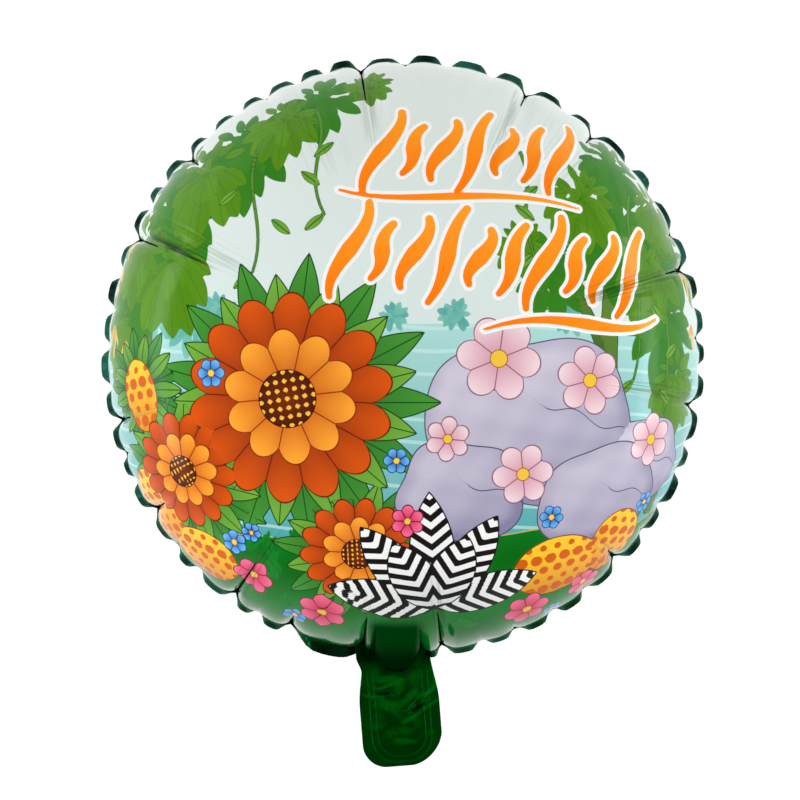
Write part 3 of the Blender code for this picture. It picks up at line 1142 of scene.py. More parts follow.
@dataclass(frozen=True)
class Artwork:
    """The printed picture: a made-up jungle of leaves, stones and blossoms.

    Its places are in millimetres on the film laid flat, from the middle of the disc.
    """

    seed: int = 21

    def paint(self, x: np.ndarray, y: np.ndarray) -> Picture:
        """Draws every layer.

        Args:
            x: Places across the flat film.
            y: Places up it.

        Returns:
            The layers by name.
        """
        picture = Picture(x, y)
        for paint_part in (
            self.paint_far_trees,
            self.paint_trunks,
            self.paint_canopy,
            self.paint_ground,
            self.paint_stones,
            self.paint_undergrowth,
            self.paint_gourds,
            self.paint_great_blossoms,
            self.paint_striped_leaves,
            self.paint_small_blossoms,
            self.paint_brush_strokes,
        ):
            paint_part(picture)
        return picture

    def paint_far_trees(self, picture: Picture) -> None:
        """Hazy trees behind the water."""
        spots = (
            (-148, 30, 26), (-122, 18, 19), (-172, 4, 26), (-104, 24, 12),
            (92, 24, 15), (28, 22, 10), (-6, 21, 9), (172, -24, 24),
        )
        for seed, (cx, cy, radius) in enumerate(spots, self.seed + 1):
            picture["far_trees"].clump(cx, cy, radius, 11, seed)

    def paint_trunks(self, picture: Picture) -> None:
        """Trunks and hanging vines."""
        for route, radii in (
            (((122, -118), (108, -30), (114, 40), (134, 118)), (8.5, 5.5, 4)),
            (((160, -96), (146, -20), (152, 40), (164, 80)), (7, 5, 4)),
            (((113, 0), (100, 34), (84, 50)), (3.5, 2.6, 1.5)),
            (((-160, -70), (-150, 0), (-158, 50), (-140, 110)), (6.5, 4.5, 3.5)),
            (((-150, 112), (-96, 118), (-60, 152), (-14, 158)), (4.5, 3.4, 1.6)),
        ):
            picture["trunks"].lay_stroke(route, radii, 0.2, 0.7)
        vines = picture["vines"]
        for route in (
            ((-52, 146), (-40, 122), (-58, 104), (-44, 78)),
            ((-84, 128), (-96, 96), (-74, 76), (-84, 46)),
            ((66, 120), (76, 96), (62, 84), (72, 56)),
            ((140, 100), (124, 64), (146, 30), (132, -14)),
            ((154, 50), (168, 8), (152, -20), (160, -66)),
        ):
            vines.lay_stroke(route, (1.0, 0.8, 0.6), 0.3, 0.0)
            for step, (px, py) in enumerate(route[1:]):
                way = 1 if step % 2 else -1
                vines.lay_leaf((px, py), (px + way * 11, py - 9), 5, 0.5, 0.4)

    def paint_canopy(self, picture: Picture) -> None:
        """Two depths of leaves at the left and the right, with golden ones at the edge."""
        spots = {
            "canopy_dark": (
                (-96, 126, 40, 0.5), (-138, 92, 44, 0.6), (-50, 156, 30, 0.3), (-176, 40, 40, 0.6),
                (128, 76, 46, 0.5), (82, 46, 27, 0.3), (158, 26, 40, 0.5), (130, 122, 32, 0.4),
                (178, 66, 34, 0.5), (-150, 124, 30, 0.6),
            ),
            "canopy_mid": (
                (-120, 112, 38, 0.8), (-138, 58, 38, 0.9), (-72, 142, 30, 0.5), (-22, 168, 18, 0.2),
                (146, 58, 38, 0.7), (104, 92, 30, 0.6), (168, -14, 32, 0.8), (64, 62, 18, 0.5),
                (-172, 72, 34, 0.7), (-186, 20, 28, 0.8), (164, 98, 28, 0.7),
            ),
        }
        for number, (name, clumps) in enumerate(spots.items()):
            for seed, (cx, cy, radius, droop) in enumerate(clumps, self.seed + 40 * number):
                picture[name].clump(cx, cy, radius, 13, seed, droop)
        golden = (
            (-196, 66, 30), (-188, 84, 22), (-192, 22, 26),
            (-174, 10, 18), (190, 60, 26), (192, 22, 22),
        )
        for px, py, reach in golden:
            for spread in (-0.5, 0.0, 0.4):
                tip = (px + spread * reach * 0.6, py - reach * (1 - abs(spread)))
                picture["canopy_gold"].lay_leaf((px, py), tip, 3.4, 0.0, 1.0)

    def paint_ground(self, picture: Picture) -> None:
        """The green ground with an uneven edge, and blades over it."""
        ground, blades = picture["ground"], picture["blades"]
        x, y = ground.x, ground.y
        rim = -104 + 5 * np.sin(x / 31) + 3 * np.sin(x / 13 + 1)
        tone = 0.5 + 0.3 * np.sin(x / 23 + y / 11) + 0.2 * np.sin(x / 9 - y / 7)
        ground.lay(y - rim, np.clip(tone, 0, 1))
        draw = np.random.default_rng(self.seed)
        for _ in range(70):
            px, py = draw.uniform(-200, 200), draw.uniform(-215, -98)
            lean, high = draw.uniform(-7, 7), draw.uniform(9, 17)
            for spread in (-4, 0, 4):
                tip = (px + lean + spread, py + high - abs(spread))
                blades.lay_leaf((px, py), tip, 2.6, 0.3, 0.5)

    def paint_stones(self, picture: Picture) -> None:
        """Smooth lavender boulders right of the middle."""
        picture["stones_back"].boulder(72, -36, 60, 46, 3)
        picture["stones_back"].boulder(146, -66, 34, 28, 4)
        picture["stones_front"].boulder(116, -82, 40, 31, 5)
        picture["stones_front"].boulder(32, -76, 36, 28, 6)

    def paint_undergrowth(self, picture: Picture) -> None:
        """Broad leaves behind the blossoms."""
        hubs = ((-62, -26, 82, 13), (-128, -70, 56, 11), (-26, -112, 50, 9), (-160, -20, 38, 9))
        for number, (cx, cy, reach, count) in enumerate(hubs):
            for name, shift, share in (("broad_under", 0.0, 1.0), ("broad_over", 0.5, 0.86)):
                for step in range(count):
                    turn = FULL_TURN * (step + shift + 0.17 * number) / count
                    base, tip = around(cx, cy, turn, 8), around(cx, cy, turn, share * reach)
                    picture[name].lay_leaf(base, tip, reach * 0.24, -0.1, 0.9)

    def paint_gourds(self, picture: Picture) -> None:
        """Yellow gourds with orange spots."""
        layer = picture["gourds"]
        pitch, row_pitch = 9.0, 9.0 * 0.87
        for cx, cy, rx, ry, turn in (
            (-160, -98, 21, 27, 20),
            (-126, -126, 25, 20, -12),
            (92, -126, 28, 21, 8),
            (132, -116, 19, 23, -15),
            (-160, -24, 14, 22, 12),
        ):
            u, v = layer.turned(cx, cy, turn)
            row = np.round(v / row_pitch)
            column = u / pitch + 0.5 * (row % 2)
            off = np.hypot((column - np.round(column)) * pitch, v - row * row_pitch)
            spot = 2.9 + 0.8 * np.sin(row * 2.1) - off
            layer.lay(layer.oval(cx, cy, rx, ry, turn), np.clip(0.6 + 0.5 * v / ry, 0, 1), spot)

    def paint_great_blossoms(self, picture: Picture) -> None:
        """Large orange blossoms left of the middle, each of two rings of petals and a heart."""
        hearts = picture["hearts"]
        for cx, cy, radius, turn in ((-64, -24, 58, 10), (-130, -68, 35, 25), (-26, -112, 33, 3)):
            picture["petals_outer"].blossom(cx, cy, radius, 14, turn, 0.22)
            picture["petals_inner"].blossom(cx + 1, cy + 1, radius * 0.64, 10, turn + 14, 0.26)
            pitch = radius * 0.085
            u, v = hearts.turned(cx, cy, turn)
            dots = pitch / 4 * (np.cos(FULL_TURN * u / pitch) + np.cos(FULL_TURN * v / pitch) - 0.7)
            edge = hearts.oval(cx, cy, radius * 0.27, radius * 0.27)
            hearts.lay(edge, np.hypot(u, v) / radius * 3, dots)

    def paint_striped_leaves(self, picture: Picture) -> None:
        """Black and white striped leaves at the foot of the picture."""
        base, pitch, behind = (18, -150), 8.5, 5
        tips = ((-44, -134), (-24, -96), (14, -76), (52, -90), (78, -128), (-6, -106), (36, -102))
        for step, tip in enumerate(tips):
            layer = picture["striped_under" if step < behind else "striped_over"]
            edge, rib, share = layer.leaf(base, tip, 25)
            along = share * math.dist(base, tip) - 0.8 * np.abs(rib)
            chevron = np.cos(FULL_TURN * along / pitch) * pitch / 5
            layer.lay(edge, np.clip(share + 0.1, 0, 1), chevron)

    def paint_small_blossoms(self, picture: Picture) -> None:
        """Soft pink, hot pink and blue blossoms."""
        pink = ((52, -2, 23), (104, -14, 19), (148, -50, 16), (66, -66, 17), (24, -46, 12))
        hot_pink = ((-50, -156, 15), (78, -160, 15), (118, -148, 12), (-92, -134, 13), (2, -92, 9))
        blue = (
            (-100, -110, 8), (-88, -102, 6), (-4, -58, 7), (84, -92, 7),
            (152, -92, 7), (-70, -166, 8), (100, -170, 7), (-108, -10, 8),
        )
        kinds = (
            # layer, places and radii, notch between petals, the eye's share and its tone
            ("pink", pink, 0.34, 0.20, 0.8),
            ("hot_pink", hot_pink, 0.36, 0.20, 0.8),
            ("blue", blue, 0.30, 0.24, 1.0),
        )
        eyes = picture["eyes"]
        for number, (name, spots, notch, eye, tone) in enumerate(kinds):
            for cx, cy, radius in spots:
                turn = (cx, cy, cx + cy)[number]
                picture[name].blossom(cx, cy, radius, 6, turn, notch)
                eyes.lay(eyes.oval(cx, cy, radius * eye, radius * eye), tone)

    def paint_brush_strokes(self, picture: Picture) -> None:
        """Two rows of slanted orange brush strokes at the upper right, none of them a letter."""
        layer = picture["brush_strokes"]
        rows = (
            # left end, height, step to the right, slope of the row, strokes
            (-12, 116, 17.5, 0.02, 7),
            (-30, 58, 18.0, -0.06, 10),
        )
        for left, middle, pitch, slope, count in rows:
            for step in range(count):
                px, py = left + pitch * step, middle + slope * pitch * step
                high = (26, 15, 19)[step % 3]
                bend = 9 if step % 2 else -9
                route = (
                    (px - 0.42 * high, py - high),
                    (px - 0.2 * high + bend, py - 0.3 * high),
                    (px + 0.2 * high - bend, py + 0.3 * high),
                    (px + 0.42 * high, py + high),
                )
                layer.lay_stroke(route, (1.8, 4.6, 2.3))
        layer.lay_stroke(((44, 14), (90, 30), (120, 4), (150, 22)), (0.8, 3.2, 0.9))
        layer.lay_stroke(((-36, 92), (0, 80), (50, 96), (100, 84)), (0.8, 2.2, 0.8))


class Graph:
    """A Geometry Nodes tree while it is put together."""

    def __init__(self, name: str) -> None:
        self.tree = bpy.data.node_groups.new(name, "GeometryNodeTree")
        self.tree.interface.new_socket(name="Geometry", in_out="OUTPUT", socket_type="NodeSocketGeometry")
        self.tree.interface.new_socket(name="Path", in_out="INPUT", socket_type="NodeSocketGeometry")
        self.sizes: dict[str, float] = {}
        self.entry = self.tree.nodes.new("NodeGroupInput")

    def size(self, name: str, value: float | int) -> bpy.types.NodeSocket:
        """Adds a named input for a size.

        Args:
            name: The input's name.
            value: What the modifier sets it to.

        Returns:
            The socket inside the tree.
        """
        kind = "NodeSocketInt" if isinstance(value, int) else "NodeSocketFloat"
        made = self.tree.interface.new_socket(name=name, in_out="INPUT", socket_type=kind)
        self.sizes[made.identifier] = value
        return self.entry.outputs[name]

    def node(self, kind: str, settings: dict[str, Any], values: dict[int | str, Any]) -> bpy.types.Node:
        """Adds a node with its settings and the values or links of its sockets."""
        made = self.tree.nodes.new(kind)
        for name, setting in settings.items():
            setattr(made, name, setting)
        for key, value in values.items():
            if isinstance(value, bpy.types.NodeSocket):
                self.tree.links.new(value, made.inputs[key])
            else:
                made.inputs[key].default_value = value
        return made

    def run(
        self, name: str, path: np.ndarray, shape: bpy.types.NodeSocket, finish: bpy.types.Material
    ) -> bpy.types.Object:
        """Closes the tree, runs it on a path and keeps the result as a plain mesh.

        Args:
            name: The made object's name.
            path: Points of the path, one to a row.
            shape: The geometry that the tree gives.
            finish: Its material.

        Returns:
            The made object.
        """
        whole = self.node("GeometryNodeRealizeInstances", {}, {0: shape})
        dressed = self.node("GeometryNodeSetMaterial", {}, {0: whole.outputs[0], "Material": finish})
        self.node("NodeGroupOutput", {}, {0: dressed.outputs[0]})
        curve = bpy.data.curves.new(name + "_path", "CURVE")
        curve.dimensions = "3D"
        spline = curve.splines.new("POLY")
        spline.points.add(len(path) - 1)
        for point, place in zip(spline.points, path.tolist()):
            point.co = (*place, 1.0)
        carrier = put_in_scene(name + "_path", curve)
        modifier = carrier.modifiers.new("shape", "NODES")
        modifier.node_group = self.tree
        for identifier, value in self.sizes.items():
            modifier[identifier] = value
        graph = bpy.context.evaluated_depsgraph_get()
        mesh = bpy.data.meshes.new_from_object(carrier.evaluated_get(graph))
        mesh.name = name
        if not mesh.materials:
            mesh.materials.append(finish)
        bpy.data.objects.remove(carrier, do_unlink=True)
        return put_in_scene(name, mesh)


@dataclass(frozen=True)
class Studio:
    """Pale floor, soft lights and the camera straight above."""

    seam_height: float
    # the middle of the seam circle and the width of the view, in pixels
    axis_x_px: float = 403.7
    axis_y_px: float = 357.3
    frame_px: float = 800.0
    metres_per_px: float = 0.0005757
    distance: float = 2.0
    sensor: float = 36.0
    floor_half: float = 20.0
    floor_gap: float = 0.0003
    floor_colour: RGBA = ink(170, 170, 170)
    floor_glow: float = 0.75
    sky_strengths: tuple[Pair, ...] = ((0.0, 0.95), (0.08, 0.8), (0.2, 0.42), (0.7, 0.4), (0.97, 0.12))
    side_light_size: Pair = (1.5, 0.35)
    side_light_elevation: float = 6.0
    side_light_distance: float = 1.6
    overhead_strength: float = 2.2
    overhead_spread: float = 80.0
    overhead_tilt: Pair = (8.0, -6.0)

    def camera(self) -> None:
        """Adds the camera so that the seam circle falls where the photograph has it."""
        data = bpy.data.cameras.new("camera")
        data.sensor_width = self.sensor
        data.lens = self.sensor * self.distance / (self.frame_px * self.metres_per_px)
        camera = put_in_scene("camera", data)
        middle = self.frame_px / 2
        camera.location = (
            (middle - self.axis_x_px) * self.metres_per_px,
            (self.axis_y_px - middle) * self.metres_per_px,
            self.seam_height + self.distance,
        )
        bpy.context.scene.camera = camera

    def floor(self) -> None:
        """Adds the pale floor, slightly glowing so that it stays white under the balloon."""
        sheet = Sheet("floor")
        sheet.surface(
            Base_Color=self.floor_colour,
            Roughness=0.6,
            Emission_Color=(1.0, 1.0, 1.0, 1.0),
            Emission_Strength=self.floor_glow,
        )
        half, low = self.floor_half, -self.floor_gap
        corners = [(-half, -half, low), (half, -half, low), (half, half, low), (-half, half, low)]
        mesh = bpy.data.meshes.new("floor")
        mesh.from_pydata(corners, [], [(0, 1, 2, 3)])
        mesh.materials.append(sheet.material)
        put_in_scene("floor", mesh)

    def side_light(self, name: str, azimuth: float, watts: float) -> None:
        """Adds a wide soft light that stands low at one side and faces the balloon.

        Args:
            name: Its name.
            azimuth: Its direction from +X, in degrees.
            watts: Its power.
        """
        data = bpy.data.lights.new(name, "AREA")
        data.shape = "RECTANGLE"
        data.size, data.size_y = self.side_light_size
        data.energy = watts
        made = put_in_scene(name, data)
        turn, up = math.radians(azimuth), math.radians(self.side_light_elevation)
        away = self.side_light_distance * math.cos(up)
        made.location = (
            away * math.cos(turn),
            away * math.sin(turn),
            self.side_light_distance * math.sin(up) + self.seam_height,
        )
        made.rotation_euler = (math.pi / 2 - up, 0, turn + math.pi / 2)

    def sky(self) -> None:
        """Lights the scene evenly and dimly, so that the film mirrors a dark studio above."""
        world = bpy.data.worlds.new("studio")
        bpy.context.scene.world = world
        world.use_nodes = True
        nodes, links = world.node_tree.nodes, world.node_tree.links
        back = nodes["Background"]
        where = nodes.new("ShaderNodeTexCoord")
        parts = nodes.new("ShaderNodeSeparateXYZ")
        ramp = nodes.new("ShaderNodeValToRGB")
        while len(ramp.color_ramp.elements) < len(self.sky_strengths):
            ramp.color_ramp.elements.new(0.5)
        for element, (height, strength) in zip(ramp.color_ramp.elements, self.sky_strengths):
            element.position = height
            element.color = (strength, strength, strength, 1)
        links.new(where.outputs["Generated"], parts.inputs[0])
        links.new(parts.outputs["Z"], ramp.inputs[0])
        links.new(ramp.outputs[0], back.inputs["Color"])

    def overhead(self) -> None:
        """Adds the wide overhead light, which lights the print but isn't mirrored in it."""
        data = bpy.data.lights.new("overhead", "SUN")
        data.energy = self.overhead_strength
        data.angle = math.radians(self.overhead_spread)
        made = put_in_scene("overhead", data)
        made.rotation_euler = (*(math.radians(tilt) for tilt in self.overhead_tilt), 0)
        made.visible_glossy = False

    def build(self) -> None:
        """Adds everything."""
        self.camera()
        self.floor()
        self.sky()
        self.overhead()
        self.side_light("left_box", 180, 6)
        self.side_light("right_box", 4, 7)
        bpy.context.scene.view_settings.view_transform = "Standard"


def store(mesh: bpy.types.Mesh, name: str, values: np.ndarray) -> None:
    """Stores three numbers for each point of a mesh under a name."""
    made = mesh.attributes.new(name, "FLOAT_VECTOR", "POINT")
    made.data.foreach_set("vector", values.astype(np.float32).ravel())


@dataclass
class Film:
    """One film: its half of the envelope with its layer of the band, as one closed piece.

    The print ends short of the neck, by a gap and a blend in millimetres. The neck's half angle
    and its blend are in degrees. The run gives the streaks their place, in so many millimetres
    across and along the film.
    """

    envelope: Envelope
    side: Side
    per_tab: int = 16
    gather: float = 0.82
    spacing: float = 0.00135
    even_inside: float = 0.130
    band_rows: Pair = (0.35, 0.7)
    inner_gap: float = 0.00003
    neck_half_angle: float = 5.4
    neck_blend: float = 1.6
    print_gap: float = 20.0
    print_blend: float = 3.5
    print_margin: float = 0.5
    off_print: float = 9.0
    run_spread: float = 5.0
    run_length: float = 45.0
    notes: list[tuple[np.ndarray, ...]] = field(default_factory=list)

    def build(self, name: str, material: bpy.types.Material) -> bpy.types.Object:
        """Makes the film.

        Args:
            name: The object's name.
            material: Its finish.

        Returns:
            The object.
        """
        sketch = MeshSketch()
        envelope, way = self.envelope, self.side.value
        profile = envelope.rim.profile
        rim_angles = envelope.rim.angles(self.per_tab, self.gather)
        slopes, lengths, _ = profile.table()
        rows = round(profile.flat_radius / self.spacing)
        pole, _ = envelope.surface(np.zeros(1), 0.0, self.side)
        pole[:, :2] = 0
        centre = int(sketch.add(pole)[0])
        self.note(np.zeros(1), 0.0, pole)
        last = last_turn = None
        for row in range(1, rows + 1):
            flat = profile.flat_radius * row / rows
            radius = profile.rim_radius * math.sqrt(math.sin(np.interp(flat, lengths, slopes)))
            if flat < self.even_inside:
                count = max(6, round(FULL_TURN * radius / self.spacing))
                turn = rim_angles[0] + FULL_TURN * np.arange(count) / count
            else:
                turn = rim_angles
            points, marks = envelope.surface(turn, flat, self.side)
            self.note(turn, flat, points, marks)
            ring = sketch.add(points)
            if last is None:
                sketch.fan(centre, ring)
            elif len(last) == len(ring):
                sketch.join(last, ring)
            else:
                sketch.zip_rings(last, last_turn, ring, turn)
            last, last_turn = ring, turn
        thinned = envelope.edge_lift - envelope.lift
        band = [(outward, envelope.lift + thinned * outward) for outward in self.band_rows]
        band += [(1.0, envelope.edge_lift), (1.0, self.inner_gap), (0.0, self.inner_gap)]
        for outward, lift in band:
            points = envelope.band(rim_angles, outward, way * lift)
            self.note(rim_angles, profile.flat_radius, points, is_band=True)
            ring = sketch.add(points)
            sketch.join(last, ring)
            last = ring
        middle = np.array([[0, 0, envelope.seam_height + way * self.inner_gap]])
        self.note(np.zeros(1), 0.0, middle, is_band=True)
        sketch.fan(int(sketch.add(middle)[0]), last[::-1])
        made = sketch.build(name, material, flip=self.side is Side.BACK)
        self.dress(made)
        return made

    def note(
        self,
        turn: np.ndarray,
        flat: float,
        points: np.ndarray,
        marks: np.ndarray | None = None,
        is_band: bool = False,
    ) -> None:
        """Keeps what the finish needs to know of a ring.

        Args:
            turn: Angles of the points, in radians.
            flat: Distance of the ring from the pole along the film.
            points: The points.
            marks: What draws the fold lines of painted shade there, if anything does.
            is_band: Whether the ring belongs to the seam band.
        """
        rim = self.envelope.rim
        reach, seam, ring = (
            size * MM_PER_M for size in (flat, rim.profile.flat_radius, rim.profile.rim_radius)
        )
        cos, sin, even = np.cos(turn), np.sin(turn), np.ones(len(turn))
        out = np.hypot(points[:, 0], points[:, 1]) * MM_PER_M - ring
        neck = np.abs(np.degrees(turn_from(turn, rim.neck_angle)))
        half, blend = self.neck_half_angle, self.neck_blend
        in_neck = 1 - smooth_rise(neck, half - blend, half + blend)
        gap, blend = self.print_gap, self.print_blend
        neck_share = in_neck * smooth_rise(out, -gap - blend, -gap + blend)
        # where the end of the neck gets painted shade
        neck_end = in_neck * smooth_rise(out, -gap / 2, blend)
        edge = self.off_print if is_band else reach - seam + self.print_margin
        spread = ring / self.run_spread
        self.notes.append(
            (
                np.column_stack((reach * cos, reach * sin, reach * even)),
                np.column_stack((edge * even, neck_share, neck_end)),
                np.column_stack((spread * cos, spread * sin, reach / self.run_length * even)),
                np.zeros((len(turn), 3)) if marks is None else marks,
            )
        )

    def dress(self, made: bpy.types.Object) -> None:
        """Stores the notes, and the print on the front film, as attributes of the mesh."""
        parts = [np.concatenate(part) for part in zip(*self.notes)]
        flat = parts[0]
        for name, values in zip(("flat", "zone", "run", "folds"), parts):
            store(made.data, name, values)
        if self.side is Side.FRONT:
            for name, layer in Artwork().paint(flat[:, 0], flat[:, 1]).items():
                store(made.data, name, np.column_stack((layer.edge, layer.tone, layer.detail)))


@dataclass(frozen=True)
class SealLine:
    """A U-shaped heat-seal line of the tail, with round corners, in millimetres."""

    half: float
    end: float
    corner: float

    def distance(self, across: np.ndarray, along: np.ndarray) -> np.ndarray:
        """Distance to the line, less than 0 inside the U."""
        qx = np.abs(across) - (self.half - self.corner)
        qy = along - (self.end - self.corner)
        outside = np.hypot(np.maximum(qx, 0), np.maximum(qy, 0))
        return outside + np.minimum(np.maximum(qx, qy), 0) - self.corner

    def route(self, begin: float) -> tuple[np.ndarray, np.ndarray]:
        """Places along the line and back up its other side, in metres."""
        turn = np.linspace(0, math.pi / 2, 12)
        side = np.linspace(begin, self.end - self.corner, 30)[:-1]
        corner_across = self.half - self.corner + self.corner * np.cos(turn)
        corner_along = self.end - self.corner + self.corner * np.sin(turn)
        across = np.concatenate((np.full(len(side), self.half), corner_across))
        along = np.concatenate((side, corner_along))
        across = np.concatenate((across, -across[::-1]))
        return across / MM_PER_M, np.concatenate((along, along[::-1])) / MM_PER_M


@dataclass(frozen=True)
class Ridge:
    """A straight soft fold of the tail, from one place across and along it to another."""

    start: Pair
    stop: Pair
    height: float
    width: float

    def rise(self, across: np.ndarray, along: np.ndarray) -> np.ndarray:
        """How far the film rises at places in the tail."""
        dx, dy = self.stop[0] - self.start[0], self.stop[1] - self.start[1]
        length = math.hypot(dx, dy)
        right, down = across - self.start[0], along - self.start[1]
        ends = np.sin(math.pi * np.clip((right * dx + down * dy) / length**2, 0, 1)) ** 0.7
        off = (right * dy - down * dx) / length
        return self.height * ends * np.exp(-((off / self.width) ** 2))


@dataclass(frozen=True)
class Tail:
    """The flat tail below the neck, one layer of it for each film."""

    envelope: Envelope
    direction: float = 274.5
    width: float = 0.046
    length: float = 0.0656
    left_corner: float = 0.0135
    right_corner: float = 0.0185
    right_flatness: float = 1.75
    root: float = 0.003
    flare: float = 0.030
    gusset: float = 0.0034
    gusset_begin: float = 0.001
    gusset_length: float = 0.0110
    puff: float = 0.0035
    puff_length: float = 0.022
    half_gap: float = 0.0005
    least_half: float = 0.001
    film: float = 0.0006
    ripple: float = 0.00042
    ripples: tuple[tuple[float, float, float], ...] = (
        # waves across, waves along, shift
        (22, 46, 0.4),
        (-38, 61, 2.1),
        (61, 17, 4.0),
        (12, 83, 1.2),
    )
    ripple_end: Pair = (0.004, 0.02)
    outer_seal: SealLine = SealLine(17.2, 63.0, 14.0)
    inner_seal: SealLine = SealLine(13.9, 59.8, 12.0)
    bead_radius: float = 0.00022
    bead_start: float = 12.0
    bead_step: float = 0.0008
    dash_count: int = 14
    dash_radius: float = 0.00028
    dash_shape: tuple[float, float, float] = (2.6, 1.0, 0.5)
    dash_ends: Pair = (-0.0205, 0.0195)
    dash_apex: float = 0.0328
    dash_drop: float = 0.006
    dash_middle: float = 0.003
    dash_reach: float = 0.02
    dash_steps: int = 41
    ridges: tuple[Ridge, ...] = (
        Ridge((-0.001, 0.041), (0.024, 0.0262), 0.0015, 0.0018),
        Ridge((0.002, 0.034), (0.022, 0.0190), 0.0013, 0.0016),
        Ridge((-0.022, 0.0225), (-0.005, 0.0245), 0.0008, 0.0012),
        Ridge((-0.014, 0.0200), (-0.001, 0.0165), 0.0008, 0.0014),
        Ridge((-0.004, 0.048), (0.010, 0.0520), 0.0006, 0.0020),
        Ridge((-0.010, 0.028), (0.010, 0.0280), 0.0016, 0.0050),
    )

    def place(self, across: np.ndarray, along: np.ndarray) -> tuple[np.ndarray, np.ndarray]:
        """A place in the tail, from its middle line and the seam circle."""
        rim = self.envelope.rim
        root = math.radians(rim.neck_angle)
        out = math.radians(self.direction)
        x = rim.profile.rim_radius * math.cos(root) + along * math.cos(out) - across * math.sin(out)
        y = rim.profile.rim_radius * math.sin(root) + along * math.sin(out) + across * math.cos(out)
        return x, y

    def half_width(self, along: np.ndarray, is_right: np.ndarray) -> np.ndarray:
        """The tail's width on one side of its middle line.

        Args:
            along: Distances from the seam circle.
            is_right: Whether each is asked for the right side.

        Returns:
            The widths.
        """
        neck = self.envelope.rim.neck_width
        half = (neck + (self.width - neck) * smooth_rise(along, 0, self.flare)) / 2
        corner = np.where(is_right, self.right_corner, self.left_corner)
        into = np.clip((along - self.length + corner) / corner, 0, 1)
        flat = np.where(is_right, self.right_flatness, 2.0)
        gusset = np.where(is_right, 0.0, self.gusset)
        gusset = gusset * (1 - smooth_rise(along, self.gusset_begin, self.gusset_length))
        return half + gusset - corner * (1 - (1 - into**flat) ** (1 / flat))

    def layer(
        self, name: str, side: Side, material: bpy.types.Material, rows: int, across: int
    ) -> bpy.types.Object:
        """Makes one layer of the tail.

        Args:
            name: The object's name.
            side: The film that it belongs to.
            material: Its finish.
            rows: Steps along the tail.
            across: Steps across it.

        Returns:
            The object.
        """
        begin = -self.envelope.rim.crease_depth - self.root
        turn = np.linspace(0, math.pi / 2, rows // 4)
        end = self.length - self.right_corner
        along = np.concatenate((np.linspace(begin, end, rows)[:-1], end + self.right_corner * np.sin(turn)))
        share = np.linspace(-1, 1, across)
        grid_along, grid_share = np.meshgrid(along, share, indexing="ij")
        grid_across = grid_share * self.half_width(grid_along, grid_share > 0)
        x, y = self.place(grid_across, grid_along)
        outer = self.top(grid_across, grid_along)
        sketch = MeshSketch()
        grids = []
        for height in (outer, np.full(outer.shape, self.half_gap)):
            z = self.envelope.seam_height + side.value * height
            numbers = sketch.add(np.column_stack((x.ravel(), y.ravel(), z.ravel())))
            grids.append(numbers.reshape(outer.shape))
        top, under = grids
        for grid, order in ((top, 1), (under, -1)):
            corners = (grid[:-1, :-1], grid[1:, :-1], grid[1:, 1:], grid[:-1, 1:])[::order]
            sketch.faces += zip(*(corner.ravel().tolist() for corner in corners))

        def border(grid: np.ndarray) -> np.ndarray:
            return np.concatenate((grid[:-1, 0], grid[-1, :-1], grid[:0:-1, -1], grid[0, :0:-1]))

        sketch.join(border(top), border(under))
        made = sketch.build(name, material, flip=side is Side.BACK)
        place = grid_across.ravel() * MM_PER_M, grid_along.ravel() * MM_PER_M
        distances = self.outer_seal.distance(*place), self.inner_seal.distance(*place)
        seals = np.column_stack((*distances, place[1]))
        store(made.data, "seals", np.concatenate((seals, seals)))
        return made

    def top(self, across: np.ndarray, along: np.ndarray) -> np.ndarray:
        """Height of a layer's outer face over the middle of the tail."""
        bulge = self.envelope.rim.neck_bulge
        share = across / np.maximum(self.half_width(along, across > 0), self.least_half)
        air = self.puff * (1 - smooth_rise(along, bulge, bulge + self.puff_length))
        height = self.half_gap + self.film + air * (1 - share**2)
        slack = np.clip(1 - share**2, 0, 1) * smooth_rise(self.length - along, *self.ripple_end)
        for across_waves, along_waves, shift in self.ripples:
            waves = across * across_waves + along * along_waves
            height = height + self.ripple * slack * np.sin(FULL_TURN * waves + shift)
        return sum((ridge.rise(across, along) for ridge in self.ridges), height)

    def on_top(self, across: np.ndarray, along: np.ndarray) -> np.ndarray:
        """Points on the front layer's outer face, one to a row."""
        x, y = self.place(across, along)
        return np.column_stack((x, y, self.envelope.seam_height + self.top(across, along)))

    def seal_bead(self, name: str, finish: bpy.types.Material, seal: SealLine) -> bpy.types.Object:
        """Makes the raised bead of one heat-seal line.

        Args:
            name: The object's name.
            finish: Its material.
            seal: The line.

        Returns:
            The object.
        """
        graph = Graph(name)
        radius = graph.size("Bead radius", self.bead_radius)
        step = {"Curve": graph.entry.outputs["Path"], "Length": graph.size("Step", self.bead_step)}
        path = graph.node("GeometryNodeResampleCurve", {"mode": "LENGTH"}, step)
        ring = graph.node("GeometryNodeCurvePrimitiveCircle", {}, {"Resolution": 8, "Radius": radius})
        bead = graph.node(
            "GeometryNodeCurveToMesh",
            {},
            {"Curve": path.outputs[0], "Profile Curve": ring.outputs[0], "Fill Caps": True},
        )
        return graph.run(name, self.on_top(*seal.route(self.bead_start)), bead.outputs[0], finish)

